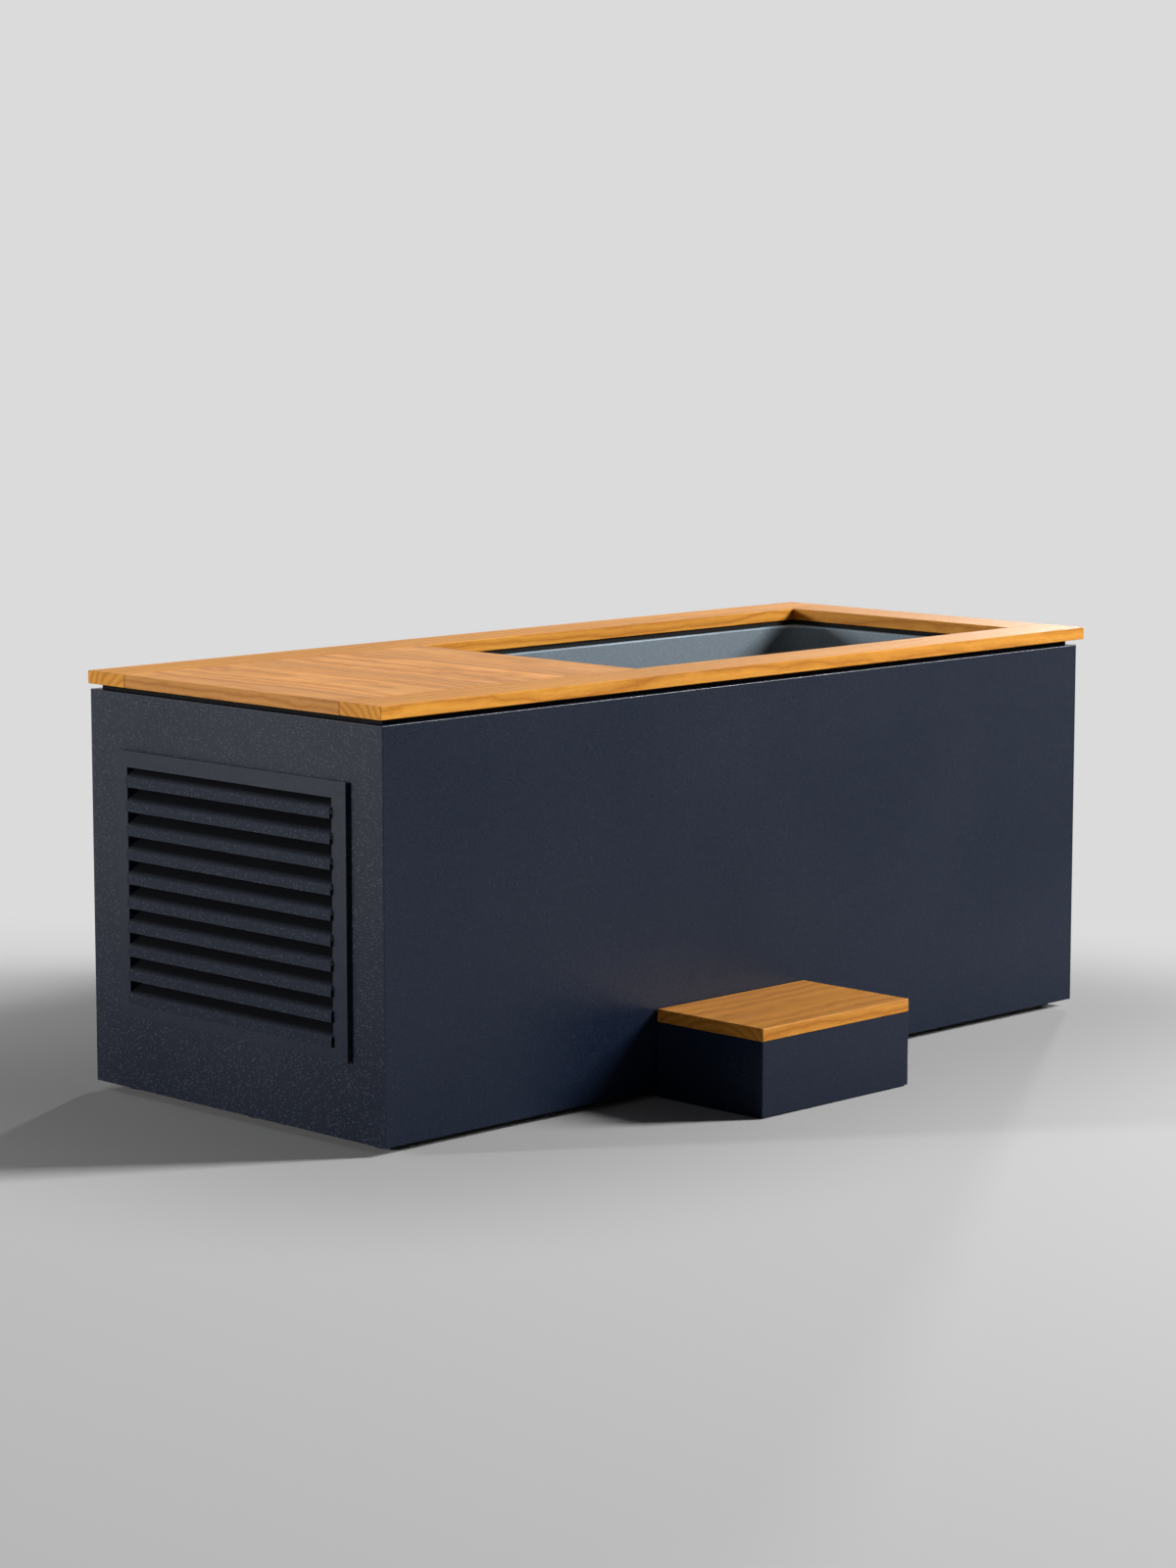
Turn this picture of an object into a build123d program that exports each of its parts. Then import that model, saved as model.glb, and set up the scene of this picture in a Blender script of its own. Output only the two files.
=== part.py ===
from build123d import *

import os
from math import cos, pi, sin

os.makedirs("parts", exist_ok=True)

# Cold plunge tub: a sheet-metal cabinet with a timber deck, a tub at one end, the cooling and
# filter gear at the other, and a loose step in front. Millimetres. The origin is the middle of
# the cabinet's plan, on the floor. +X runs to the tub end, +Y to the back, +Z up.

# Cabinet
cabinet_length = 1973.0
cabinet_width = 824.0
cabinet_height = 760.0
panel_thickness = 3.0
panel_return = 30.0
panel_bend_radius = 2.0
panel_seam = 0.6
pad_thickness = 3.0
pad_diameter = 60.0
plinth_height = 12.0
plinth_inset_side = 30.0
plinth_inset_end = 38.0
pan_thickness = 2.0
pan_clearance = 0.5

# Welded frame inside the cabinet
tube_size = 40.0
tube_wall = 2.0
bulkhead_thickness = 2.0
bulkhead_corner_gap = 1.0

# Timber deck
timber_thickness = 25.0
shadow_gap = 10.0
spacer_inset = 16.0
spacer_reveal = 4.0
hatch_ledge = 24.0
deck_overhang_side = 3.0
deck_overhang_louvre_end = 4.0
deck_overhang_tub_end = 23.0
rail_width = 110.0
tub_end_board_width = 117.0
hatch_length = 758.0
hatch_gap = 1.0
board_gap = 0.2
timber_edge_radius = 1.5
batten_width = 45.0
batten_height = 20.0
batten_end_gap = 10.0

# Screws
screw_head_radius = 4.0
screw_head_height = 2.0
screw_radius = 2.4
screw_clearance = 0.2
panel_screw_length = 14.0
deck_screw_length = 25.0
screw_tip_gap = 1.0
screw_edge_distance = 60.0
side_screw_count = 6
end_screw_count = 3

# Louvre grille
louvre_side_margin = 87.0
louvre_height = 509.0
louvre_bottom = 158.0
louvre_plate = 3.0
louvre_standoff = 6.0
louvre_near_stile = 38.0
louvre_far_stile = 31.0
louvre_bottom_border = 24.0
blade_count = 10
first_slot_height = 20.0
blade_pitch = 46.3
blade_nose_height = 17.5
blade_proud = 5.0
blade_sheet = 1.6
blade_run = 34.0
blade_rise = 31.0
louvre_flange = 2.0
louvre_cutout_gap = 6.0
gasket_inset = 2.5
magnet_diameter = 13.0
magnet_clearance = 0.3

# Tub
tub_reveal = 2.0
tub_wall = 3.0
tub_corner_radius = 100.0
tub_floor_radius = 30.0
tub_lip_radius = 5.0
tub_flange_gap = 1.0
foam_thickness = 50.0
foam_floor = 40.0
foam_clearance = 0.5
foam_top_gap = 12.0

# Plumbing
pipe_radius = 20.0
pipe_bore = 17.0
fitting_radius = 36.0
fitting_face = 5.0
fitting_thread_radius = 24.0
fitting_nut_radius = 34.0
fitting_nut_length = 12.0
fitting_hole_clearance = 0.3
pipe_hole_clearance = 3.0
strainer_ring_radius = 12.0
strainer_hole_radius = 4.0
strainer_hole_count = 8
jet_radius = 10.0
fitting_margin = 3.0
suction_above_drain = 10.0
suction_from_front = 250.0
return_height = 400.0
return_from_front = 575.0
drain_bar_width = 4.0
drain_from_front = 412.0
drain_run_gap = 3.0
pipe_bend_radius = 32.0
drain_bend_radius = 24.0
pipe_saddle_depth = 4.0

# Circulation pump
tray_thickness = 2.0
tray_clearance = 1.0
pump_case_radius = 70.0
pump_case_length = 56.0
pump_case_wall = 5.0
pump_neck = 14.0
pump_from_bulkhead = 105.0
pump_motor_radius = 55.0
pump_motor_length = 170.0
pump_motor_wall = 6.0
motor_rib_count = 9
motor_rib_width = 3.0
motor_rib_height = 4.0
motor_rib_inset = 34.0
motor_foot_inset = 30.0
motor_foot_width = 70.0
pump_rotor_radius = 38.0
pump_shaft_radius = 7.0
impeller_radius = 52.0
impeller_thickness = 6.0
impeller_vane_height = 20.0
impeller_vanes = 6
impeller_vane_width = 4.0
running_gap = 2.0
shaft_clearance = 0.05
pump_foot_width = 90.0

# Steriliser, filter and heat exchanger
steriliser_radius = 34.0
steriliser_length = 150.0
steriliser_collar = 12.0
steriliser_collar_overhang = 5.0
filter_inlet_rise = 34.0
filter_radius = 72.0
filter_wall = 4.0
filter_height = 420.0
filter_from_front = 395.0
filter_lid_height = 22.0
filter_lid_overhang = 8.0
filter_lid_edge = 4.0
filter_spigot_depth = 8.0
filter_spigot_clearance = 0.4
filter_grip_length = 100.0
filter_grip_width = 28.0
filter_grip_height = 24.0
cartridge_radius = 60.0
cartridge_bore = 24.0
cartridge_pleats = 36
cartridge_pleat_depth = 6.0
cartridge_pleat_gap = 3.0
cartridge_cap = 10.0
cartridge_floor_gap = 30.0
exchanger_radius = 75.0
exchanger_height = 380.0
exchanger_cap = 18.0
exchanger_cap_overhang = 5.0
filter_outlet_height = 160.0

# Refrigeration
condenser_from_end = 70.0
condenser_depth = 40.0
condenser_margin = 15.0
condenser_height = 460.0
condenser_bottom = 160.0
condenser_side_plate = 3.0
fin_pitch = 16.0
fin_slot = 6.0
fin_slot_depth = 8.0
fin_border = 10.0
shroud_plate = 3.0
shroud_ring_depth = 48.0
shroud_ring_wall = 3.0
fan_radius = 170.0
fan_tip_gap = 8.0
fan_hub_radius = 48.0
fan_hub_length = 42.0
fan_blade_count = 5
fan_blade_thickness = 3.0
fan_blade_width = 110.0
fan_blade_angle = 22.0
fan_blade_root = 6.0
fan_blade_corner = 18.0
fan_hub_edge = 5.0
fan_motor_radius = 46.0
fan_motor_length = 60.0
fan_motor_edge = 6.0
fan_shaft_radius = 6.0
fan_shaft_depth = 36.0
fan_shaft_end_gap = 6.0
fan_arm_width = 18.0
fan_arm_thickness = 4.0
compressor_radius = 75.0
compressor_height = 230.0
compressor_dome = 24.0
compressor_foot_height = 14.0
compressor_foot_radius = 14.0
compressor_plate = 5.0
compressor_plate_margin = 8.0
compressor_plate_corner = 12.0
compressor_seam_height = 126.0
compressor_seam_width = 6.0
compressor_seam_proud = 3.0
compressor_from_end = 300.0
compressor_from_front = 610.0
refrigerant_pipe_radius = 5.0
refrigerant_bend = 25.0
refrigerant_line_offset = 30.0
hot_line_height = 670.0
cold_line_height = 490.0
liquid_line_height = 250.0
liquid_line_from_back = 60.0

# Electrics
control_box_length = 280.0
control_box_depth = 85.0
control_box_height = 200.0
control_box_wall = 2.5
box_bracket_width = 30.0
box_bracket_inset = 20.0
box_bracket_overlap = 20.0
control_box_from_end = 90.0
control_box_top_gap = 70.0
control_lid_thickness = 3.0
button_radius = 11.0
button_travel = 3.0
button_proud = 2.0
button_clearance = 0.3
button_edge = 1.5
button_flange = 2.0
gland_radius = 12.5
gland_flange_radius = 19.0
gland_flange = 4.0
gland_nut = 6.0
gland_tail = 8.0
gland_wall = 4.0
gland_from_end = 160.0
gland_height = 130.0

# Drain valve
valve_body_radius = 26.0
valve_body_length = 50.0
valve_ball_radius = 21.0
valve_ball_clearance = 0.3
valve_stem_radius = 5.0
valve_stem_start = 15.0
valve_neck_radius = 10.0
valve_neck_height = 12.0
lever_length = 95.0
lever_width = 18.0
lever_thickness = 4.0
outlet_radius = 17.0
outlet_bore = 13.0
outlet_flange_radius = 30.0
outlet_reach = 16.0
panel_hole_clearance = 0.5
cap_wall = 3.0
cap_clearance = 0.3

# Step
step_length = 417.0
step_width = 272.0
step_height = 171.5
step_from_louvre_end = 698.0
step_gap = 3.0
step_tread_thickness = 25.0
step_sheet = 3.0
step_corner_radius = 1.8
step_pad_inset = 5.0
step_return = 30.0
step_pad_size = 40.0

# Planes and faces that several pieces share
louvre_x = -cabinet_length / 2
tub_x = cabinet_length / 2
front_y = -cabinet_width / 2
back_y = cabinet_width / 2
cabinet_bottom = pad_thickness + plinth_height
cabinet_top = cabinet_bottom + cabinet_height
base_z = cabinet_bottom + pan_thickness
base_top = base_z + tube_size
frame_top = cabinet_top - panel_thickness
frame_under = frame_top - tube_size
deck_under = cabinet_top + shadow_gap
deck_top = deck_under + timber_thickness
frame_x0 = louvre_x + panel_thickness
frame_x1 = tub_x - panel_thickness
frame_y0 = front_y + panel_thickness
frame_y1 = back_y - panel_thickness

deck_x0 = louvre_x - deck_overhang_louvre_end
deck_x1 = tub_x + deck_overhang_tub_end
deck_y0 = front_y - deck_overhang_side
deck_y1 = back_y + deck_overhang_side
hatch_end = deck_x0 + hatch_length
opening_x0 = hatch_end
opening_x1 = deck_x1 - tub_end_board_width
opening_y0 = deck_y0 + rail_width
opening_y1 = deck_y1 - rail_width

tub_x0 = opening_x0 - tub_reveal
tub_x1 = opening_x1 + tub_reveal
tub_y0 = opening_y0 - tub_reveal
tub_y1 = opening_y1 + tub_reveal
tub_under = base_top + foam_floor
tub_floor = tub_under + tub_wall
drain_height = tub_floor + tub_floor_radius + fitting_radius + fitting_margin
suction_height = drain_height + suction_above_drain
foam_x0 = tub_x0 - tub_wall - foam_thickness
bulkhead_x = foam_x0 - bulkhead_thickness
bay_x1 = bulkhead_x
tray_z = base_top
gear_z = tray_z + tray_thickness


def block(x0, x1, y0, y1, z0, z1):
    """A box between two corners."""
    middle = Pos((x0 + x1) / 2, (y0 + y1) / 2, (z0 + z1) / 2)
    return middle * Box(x1 - x0, y1 - y0, z1 - z0)


def rounded_block(x0, x1, y0, y1, z0, z1, radius):
    """A box with rounded upright corners."""
    outline = Pos((x0 + x1) / 2, (y0 + y1) / 2, z0) * RectangleRounded(x1 - x0, y1 - y0, radius)
    return extrude(outline, z1 - z0)


def rod(start, direction, length, radius):
    """A round bar from a point along a direction."""
    return extrude(Plane(origin=start, z_dir=direction) * Circle(radius), length)


def pipe(start, direction, length, radius, bore):
    """A straight round tube from a point along a direction."""
    return rod(start, direction, length, radius) - rod(start, direction, length, bore)


def bent_bar(points, radius, bend):
    """A round bar along straight runs with rounded corners."""
    path = FilletPolyline(*points, radius=bend)
    section = Plane(origin=path @ 0, z_dir=path % 0) * Circle(radius)
    return sweep(section, path=path)


def box_tube(x0, x1, y0, y1, z0, z1, along):
    """A square tube, open at both ends, that runs along X, Y or Z."""
    outer = block(x0, x1, y0, y1, z0, z1)
    wall = {axis: 0 if axis == along else tube_wall for axis in "XYZ"}
    inner = block(
        x0 + wall["X"], x1 - wall["X"], y0 + wall["Y"], y1 - wall["Y"], z0 + wall["Z"], z1 - wall["Z"]
    )
    return outer - inner


def spread(first, last, count):
    """Evenly spaced places from the first to the last."""
    return [first + (last - first) * i / (count - 1) for i in range(count)]


def save(name, *solids):
    """Writes one piece, or one group of like pieces, as a STEP file."""
    shape = solids[0] if len(solids) == 1 else Compound(children=list(solids))
    export_step(shape, f"parts/{name}.step")


# Plinth and floor


def plinth_corners():
    """The plinth ring's outer corners."""
    return (
        louvre_x + plinth_inset_end,
        tub_x - plinth_inset_end,
        front_y + plinth_inset_side,
        back_y - plinth_inset_side,
    )


def rubber_pads():
    """Nine pads under the plinth: one at each end and the middle of its three cross bars."""
    x0, x1, y0, y1 = plinth_corners()
    reach = pad_diameter / 2
    return [
        rod((x, y, 0), (0, 0, 1), pad_thickness, reach)
        for x in spread(x0 + reach, x1 - reach, 3)
        for y in spread(y0 + reach, y1 - reach, 3)
    ]


def plinth_frame():
    """Flat bars under the cabinet, set back from its faces: two long ones and three across."""
    x0, x1, y0, y1 = plinth_corners()
    top = pad_thickness + plinth_height
    width = pad_diameter
    bars = [
        block(x0, x1, y0, y0 + width, pad_thickness, top),
        block(x0, x1, y1 - width, y1, pad_thickness, top),
    ]
    for x in spread(x0, x1 - width, 3):
        bars.append(block(x, x + width, y0 + width, y1 - width, pad_thickness, top))
    return bars


def floor_pan():
    """The flat sheet that closes the cabinet underneath."""
    gap = pan_clearance
    return block(
        frame_x0 + gap,
        frame_x1 - gap,
        frame_y0 + gap,
        frame_y1 - gap,
        cabinet_bottom,
        cabinet_bottom + pan_thickness,
    )


# Welded frame


def main_places():
    """The low X side of the cross members that both level frames have."""
    return [frame_x0, bulkhead_x, frame_x1 - tube_size]


def base_places():
    """The base frame's cross members: the main ones, one under the gear and two under the tub."""
    louvre_end, bay_end, tub_end = main_places()
    tub_span = tub_end - bay_end
    return [
        louvre_end,
        (louvre_end + bay_end) / 2,
        bay_end,
        bay_end + tub_span / 3,
        bay_end + 2 * tub_span / 3,
        tub_end,
    ]


def level_frame(z0, places):
    """Two long tubes joined by cross members, all at one level."""
    z1 = z0 + tube_size
    inner_y0 = frame_y0 + tube_size
    inner_y1 = frame_y1 - tube_size
    members = [
        box_tube(frame_x0, frame_x1, frame_y0, inner_y0, z0, z1, "X"),
        box_tube(frame_x0, frame_x1, inner_y1, frame_y1, z0, z1, "X"),
    ]
    for x in places:
        members.append(box_tube(x, x + tube_size, inner_y0, inner_y1, z0, z1, "Y"))
    return members


def uprights():
    """Posts between the two level frames: the corners, the bulkhead and beside the tub."""
    louvre_end, bay_end, tub_end = main_places()
    posts = []
    for x in (louvre_end, bay_end, (bay_end + tub_end) / 2, tub_end):
        for y in (frame_y0, frame_y1 - tube_size):
            posts.append(box_tube(x, x + tube_size, y, y + tube_size, base_top, frame_under, "Z"))
    return posts


def side_screw_places():
    """Where screws go down through the returns of the long panels."""
    return spread(louvre_x + screw_edge_distance, tub_x - screw_edge_distance, side_screw_count)


def end_screw_places():
    """Where screws go down through the returns of the end panels."""
    return spread(front_y + screw_edge_distance, back_y - screw_edge_distance, end_screw_count)


def panel_screw_points():
    """Plan places of all panel screws, in the middle of each return."""
    inset = (panel_thickness + panel_return) / 2
    points = [(x, y) for x in side_screw_places() for y in (front_y + inset, back_y - inset)]
    points += [(x, y) for y in end_screw_places() for x in (louvre_x + inset, tub_x - inset)]
    return points


def screw(x, y, head_z, length, up):
    """A flat-headed screw: its head's free face at head_z, its shank up or down."""
    way = 1 if up else -1
    head = rod((x, y, head_z), (0, 0, way), screw_head_height, screw_head_radius)
    return head + rod((x, y, head_z), (0, 0, way), length, screw_radius)


def screw_hole(x, y, head_z, length, up):
    """The sunk hole for a flat-headed screw."""
    way = 1 if up else -1
    sink = rod((x, y, head_z), (0, 0, way), screw_head_height, screw_head_radius + screw_clearance)
    return sink + rod((x, y, head_z), (0, 0, way), length, screw_radius + screw_clearance)


def cut_panel_screws(shape):
    """Cuts the holes of the panel screws."""
    for x, y in panel_screw_points():
        shape -= screw_hole(x, y, cabinet_top, panel_screw_length + screw_tip_gap, False)
    return shape


def top_frame():
    """The upper level frame, drilled for the panel screws. It's open over the tub."""
    return [cut_panel_screws(member) for member in level_frame(frame_under, main_places())]


# Outer panels


def side_panel(outer, inward):
    """A long panel with a return at its top and bottom. inward is +1 or -1 along Y."""
    x0 = frame_x0 + panel_seam
    x1 = frame_x1 - panel_seam
    inner = outer + inward * panel_thickness
    far = outer + inward * panel_return
    sheet = block(x0, x1, min(outer, inner), max(outer, inner), cabinet_bottom, cabinet_top)
    lip = block(x0, x1, min(outer, far), max(outer, far), frame_top, cabinet_top)
    panel = sheet + lip
    bend = [
        edge
        for edge in panel.edges().filter_by(Axis.X)
        if abs(edge.center().Y - outer) < 0.01 and edge.center().Z > frame_top
    ]
    return cut_panel_screws(fillet(bend, panel_bend_radius))


def end_panel(outer, inward):
    """A short panel with a return at its top, between the long panels' returns."""
    inner = outer + inward * panel_thickness
    far = outer + inward * panel_return
    y0 = front_y + panel_return + panel_seam
    y1 = back_y - panel_return - panel_seam
    sheet = block(min(outer, inner), max(outer, inner), front_y, back_y, cabinet_bottom, cabinet_top)
    lip = block(min(outer, far), max(outer, far), y0, y1, frame_top, cabinet_top)
    panel = sheet + lip
    bend = [
        edge
        for edge in panel.edges().filter_by(Axis.Y)
        if abs(edge.center().X - outer) < 0.01 and edge.center().Z > frame_top
    ]
    return cut_panel_screws(fillet(bend, panel_bend_radius))


# Louvre grille

louvre_y0 = front_y + louvre_side_margin
louvre_y1 = back_y - louvre_side_margin
louvre_top = louvre_bottom + louvre_height
slot_y0 = louvre_y0 + louvre_near_stile
slot_y1 = louvre_y1 - louvre_far_stile
slot_z0 = louvre_bottom + louvre_bottom_border
slot_z1 = slot_z0 + blade_count * blade_pitch - (blade_pitch - blade_nose_height) + first_slot_height
cutout_y0 = slot_y0 - louvre_flange - louvre_cutout_gap / 2
cutout_y1 = slot_y1 + louvre_flange + louvre_cutout_gap / 2
cutout_z0 = slot_z0 - louvre_cutout_gap
blade_tail_z = slot_z0 + (blade_count - 1) * blade_pitch + blade_nose_height + blade_rise
cutout_z1 = blade_tail_z + louvre_cutout_gap / 2
plate_back = louvre_x - louvre_standoff
plate_face = plate_back - louvre_plate


def louvre_end_panel():
    """The end panel with the louvre's cut-out."""
    reach = 2 * panel_thickness
    hole = block(louvre_x - reach, louvre_x + reach, cutout_y0, cutout_y1, cutout_z0, cutout_z1)
    return end_panel(louvre_x, 1) - hole


def magnet_points():
    """Y and Z of the four magnets behind the grille's stiles."""
    near = (louvre_y0 + gasket_inset + cutout_y0) / 2
    far = (louvre_y1 - gasket_inset + cutout_y1) / 2
    low = (louvre_bottom + louvre_top) / 2 - louvre_height / 3
    high = (louvre_bottom + louvre_top) / 2 + louvre_height / 3
    return [(y, z) for y in (near, far) for z in (low, high)]


def louvre_gasket():
    """A dark foam ring that holds the grille off the panel."""
    inset = gasket_inset
    ring = block(
        plate_back, louvre_x, louvre_y0 + inset, louvre_y1 - inset, louvre_bottom + inset, louvre_top - inset
    )
    ring -= block(plate_back, louvre_x, cutout_y0, cutout_y1, cutout_z0, cutout_z1)
    for y, z in magnet_points():
        hole = rod((plate_back, y, z), (1, 0, 0), louvre_standoff, magnet_diameter / 2 + magnet_clearance)
        ring -= hole
    return ring


def louvre_magnets():
    """Disc magnets on the end panel, in the gasket's holes."""
    return [
        rod((plate_back, y, z), (1, 0, 0), louvre_standoff, magnet_diameter / 2)
        for y, z in magnet_points()
    ]


def louvre_frame():
    """A flat frame with a flange turned in at each side of the slots."""
    plate = block(plate_face, plate_back, louvre_y0, louvre_y1, louvre_bottom, louvre_top)
    plate -= block(plate_face, plate_back, slot_y0, slot_y1, slot_z0, slot_z1)
    flange_end = plate_face - blade_proud + blade_run
    for y in (slot_y0 - louvre_flange, slot_y1):
        plate += block(plate_back, flange_end, y, y + louvre_flange, slot_z0, slot_z1)
    return plate


def louvre_blade(nose_z):
    """A folded blade: an upright nose, then a slope that rises inwards."""
    nose_x = plate_face - blade_proud
    nose_top = nose_z + blade_nose_height
    end_x = nose_x + blade_run
    end_z = nose_top + blade_rise
    outline = Polyline(
        (nose_x, nose_z),
        (nose_x, nose_top),
        (end_x, end_z),
        (end_x, end_z - 1.5 * blade_sheet),
        (nose_x + blade_sheet, nose_top - 0.7 * blade_sheet),
        (nose_x + blade_sheet, nose_z),
        close=True,
    )
    section = Plane(origin=(0, slot_y1, 0), x_dir=(1, 0, 0), z_dir=(0, -1, 0)) * make_face(outline)
    return extrude(section, slot_y1 - slot_y0)


def louvre_blades():
    """The row of blades, each seated between the frame's flanges."""
    return [louvre_blade(slot_z0 + i * blade_pitch) for i in range(blade_count)]


# Timber deck


def deck_screw_points():
    """Plan places of the screws that go up through the spacer into the timber."""
    rail_middle = rail_width / 2 - deck_overhang_side
    rows = (front_y + rail_middle, back_y - rail_middle)
    points = [(x, y) for x in side_screw_places() for y in rows]
    board_middle = (opening_x1 + tub_x) / 2
    points += [(board_middle, y) for y in end_screw_places()[1:-1]]
    return points


def cut_deck_screws(shape):
    """Cuts the holes of the deck screws."""
    for x, y in deck_screw_points():
        shape -= screw_hole(x, y, cabinet_top, deck_screw_length + screw_tip_gap, True)
    return shape


def deck_spacer():
    """Strips of black board under the timber, framing the gear bay and the tub."""
    x0 = louvre_x + spacer_inset
    x1 = tub_x - spacer_inset
    y0 = front_y + spacer_inset
    y1 = back_y - spacer_inset
    tub_gap_x0 = opening_x0 - spacer_reveal
    tub_gap_x1 = opening_x1 + spacer_reveal
    side_y0 = opening_y0 - spacer_reveal
    side_y1 = opening_y1 + spacer_reveal
    bay_x0 = x0 + 2 * hatch_ledge
    bay_x1 = opening_x0 - 2 * hatch_ledge
    outlines = [
        (x0, x1, y0, side_y0),
        (x0, x1, side_y1, y1),
        (x0, bay_x0, side_y0, side_y1),
        (bay_x1, tub_gap_x0, side_y0, side_y1),
        (tub_gap_x1, x1, side_y0, side_y1),
        (bay_x0, bay_x1, side_y0, opening_y0 + hatch_ledge),
        (bay_x0, bay_x1, opening_y1 - hatch_ledge, side_y1),
    ]
    return [cut_deck_screws(block(*outline, cabinet_top, deck_under)) for outline in outlines]


def timber(x0, x1, y0, y1):
    """A deck board with softened edges."""
    board = block(x0, x1, y0, y1, deck_under, deck_top)
    return fillet(board.edges(), timber_edge_radius)


def hatch_battens():
    """Two bearers screwed across the hatch's underside, inside the spacer's bay opening."""
    y0 = opening_y0 + hatch_ledge + batten_end_gap
    y1 = opening_y1 - hatch_ledge - batten_end_gap
    x0 = louvre_x + spacer_inset + 2 * hatch_ledge + batten_end_gap
    x1 = opening_x0 - 2 * hatch_ledge - batten_end_gap
    low = deck_under - batten_height
    return [
        block(x0, x0 + batten_width, y0, y1, low, deck_under),
        block(x1 - batten_width, x1, y0, y1, low, deck_under),
    ]


# Tub


def wall_fitting_points():
    """Y and Z of the suction, return and drain fittings on the tub's bay-end wall."""
    return {
        "suction": (front_y + suction_from_front, suction_height),
        "return": (front_y + return_from_front, return_height),
        "drain": (front_y + drain_from_front, drain_height),
    }


def tub_shell():
    """The welded tub: rounded corners, a rolled lip and a flange that lies on the frame."""
    wall = tub_wall
    inner = rounded_block(tub_x0, tub_x1, tub_y0, tub_y1, tub_floor, cabinet_top, tub_corner_radius)
    inner = fillet(inner.faces().sort_by(Axis.Z)[0].edges(), tub_floor_radius)
    outer = rounded_block(
        tub_x0 - wall,
        tub_x1 + wall,
        tub_y0 - wall,
        tub_y1 + wall,
        tub_under,
        cabinet_top,
        tub_corner_radius + wall,
    )
    outer = fillet(outer.faces().sort_by(Axis.Z)[0].edges(), tub_floor_radius + wall)
    edge = panel_return + tub_flange_gap
    flange = block(
        bulkhead_x, tub_x - edge, front_y + edge, back_y - edge, cabinet_top - wall, cabinet_top
    )
    shell = outer + flange - inner
    lip = [
        one
        for one in shell.edges()
        if abs(one.center().Z - cabinet_top) < 0.01
        and tub_x0 - 1 < one.center().X < tub_x1 + 1
        and tub_y0 - 1 < one.center().Y < tub_y1 + 1
    ]
    shell = fillet(lip, tub_lip_radius)
    for y, z in wall_fitting_points().values():
        start = (tub_x0 - 2 * wall, y, z)
        shell -= rod(start, (1, 0, 0), 4 * wall, fitting_thread_radius + fitting_hole_clearance)
    return tub_sheets(shell)


def tub_sheets(shell):
    """Parts the tub along its welds: a floor plate, coves, walls, corners and rim strips."""
    radius = tub_floor_radius
    corner = tub_corner_radius
    floor = rounded_block(
        tub_x0 + radius,
        tub_x1 - radius,
        tub_y0 + radius,
        tub_y1 - radius,
        tub_under,
        tub_floor,
        corner - radius,
    )
    sheets = [shell & floor]
    shell = shell - floor
    columns = ((bulkhead_x, tub_x0 + corner), (tub_x0 + corner, tub_x1 - corner), (tub_x1 - corner, tub_x))
    rows = ((front_y, tub_y0 + corner), (tub_y0 + corner, tub_y1 - corner), (tub_y1 - corner, back_y))
    cove_top = tub_floor + radius
    rim_under = cabinet_top - tub_lip_radius
    for levels in ((tub_under, cove_top), (cove_top, rim_under), (rim_under, cabinet_top)):
        for column in columns:
            for row in rows:
                if (column, row) != (columns[1], rows[1]):
                    sheets += (shell & block(*column, *row, *levels)).solids()
    return sheets


def tub_insulation():
    """The foam jacket round the tub, cut away for the wall fittings."""
    wall = tub_wall + foam_clearance
    x1 = min(tub_x1 + wall + foam_thickness, frame_x1 - tube_size - foam_clearance)
    y0 = max(tub_y0 - wall - foam_thickness, frame_y0 + tube_size + foam_clearance)
    y1 = min(tub_y1 + wall + foam_thickness, frame_y1 - tube_size - foam_clearance)
    jacket = block(foam_x0, x1, y0, y1, base_top, frame_under - foam_top_gap)
    radius = tub_corner_radius + wall
    jacket -= rounded_block(
        tub_x0 - wall, tub_x1 + wall, tub_y0 - wall, tub_y1 + wall, tub_under, frame_under, radius
    )
    for y, z in wall_fitting_points().values():
        start = (foam_x0 - 1, y, z)
        reach = foam_thickness + tub_wall + 2
        jacket -= rod(start, (1, 0, 0), reach, fitting_nut_radius + pipe_hole_clearance)
    return jacket


def bulkhead():
    """The sheet between the gear bay and the foam, holed for the pipes."""
    gap = bulkhead_corner_gap
    sheet = block(
        bulkhead_x,
        foam_x0,
        frame_y0 + tube_size + gap,
        frame_y1 - tube_size - gap,
        base_top,
        frame_under,
    )
    for y, z in wall_fitting_points().values():
        start = (bulkhead_x - 1, y, z)
        sheet -= rod(start, (1, 0, 0), bulkhead_thickness + 2, pipe_radius + pipe_hole_clearance)
    return sheet


def wall_fitting(y, z):
    """A flanged fitting through the tub's wall, with a through bore for its pipe."""
    face = rod((tub_x0, y, z), (1, 0, 0), fitting_face, fitting_radius)
    rim = face.faces().sort_by(Axis.X)[-1].edges()
    face = fillet(rim, fitting_face / 2)
    back = tub_wall + fitting_nut_length + fitting_face
    thread = rod((tub_x0 - back, y, z), (1, 0, 0), back, fitting_thread_radius)
    return face + thread


def suction_fitting():
    """The strainer: a wall fitting whose face has a ring of round holes."""
    y, z = wall_fitting_points()["suction"]
    body = wall_fitting(y, z)
    back = tub_wall + fitting_nut_length + fitting_face
    body -= rod((tub_x0 - back, y, z), (1, 0, 0), back, pipe_bore)
    ring = strainer_ring_radius
    for i in range(strainer_hole_count):
        angle = 2 * pi * i / strainer_hole_count
        centre = (tub_x0 - 1, y + ring * cos(angle), z + ring * sin(angle))
        body -= rod(centre, (1, 0, 0), fitting_face + 2, strainer_hole_radius)
    return body


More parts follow.
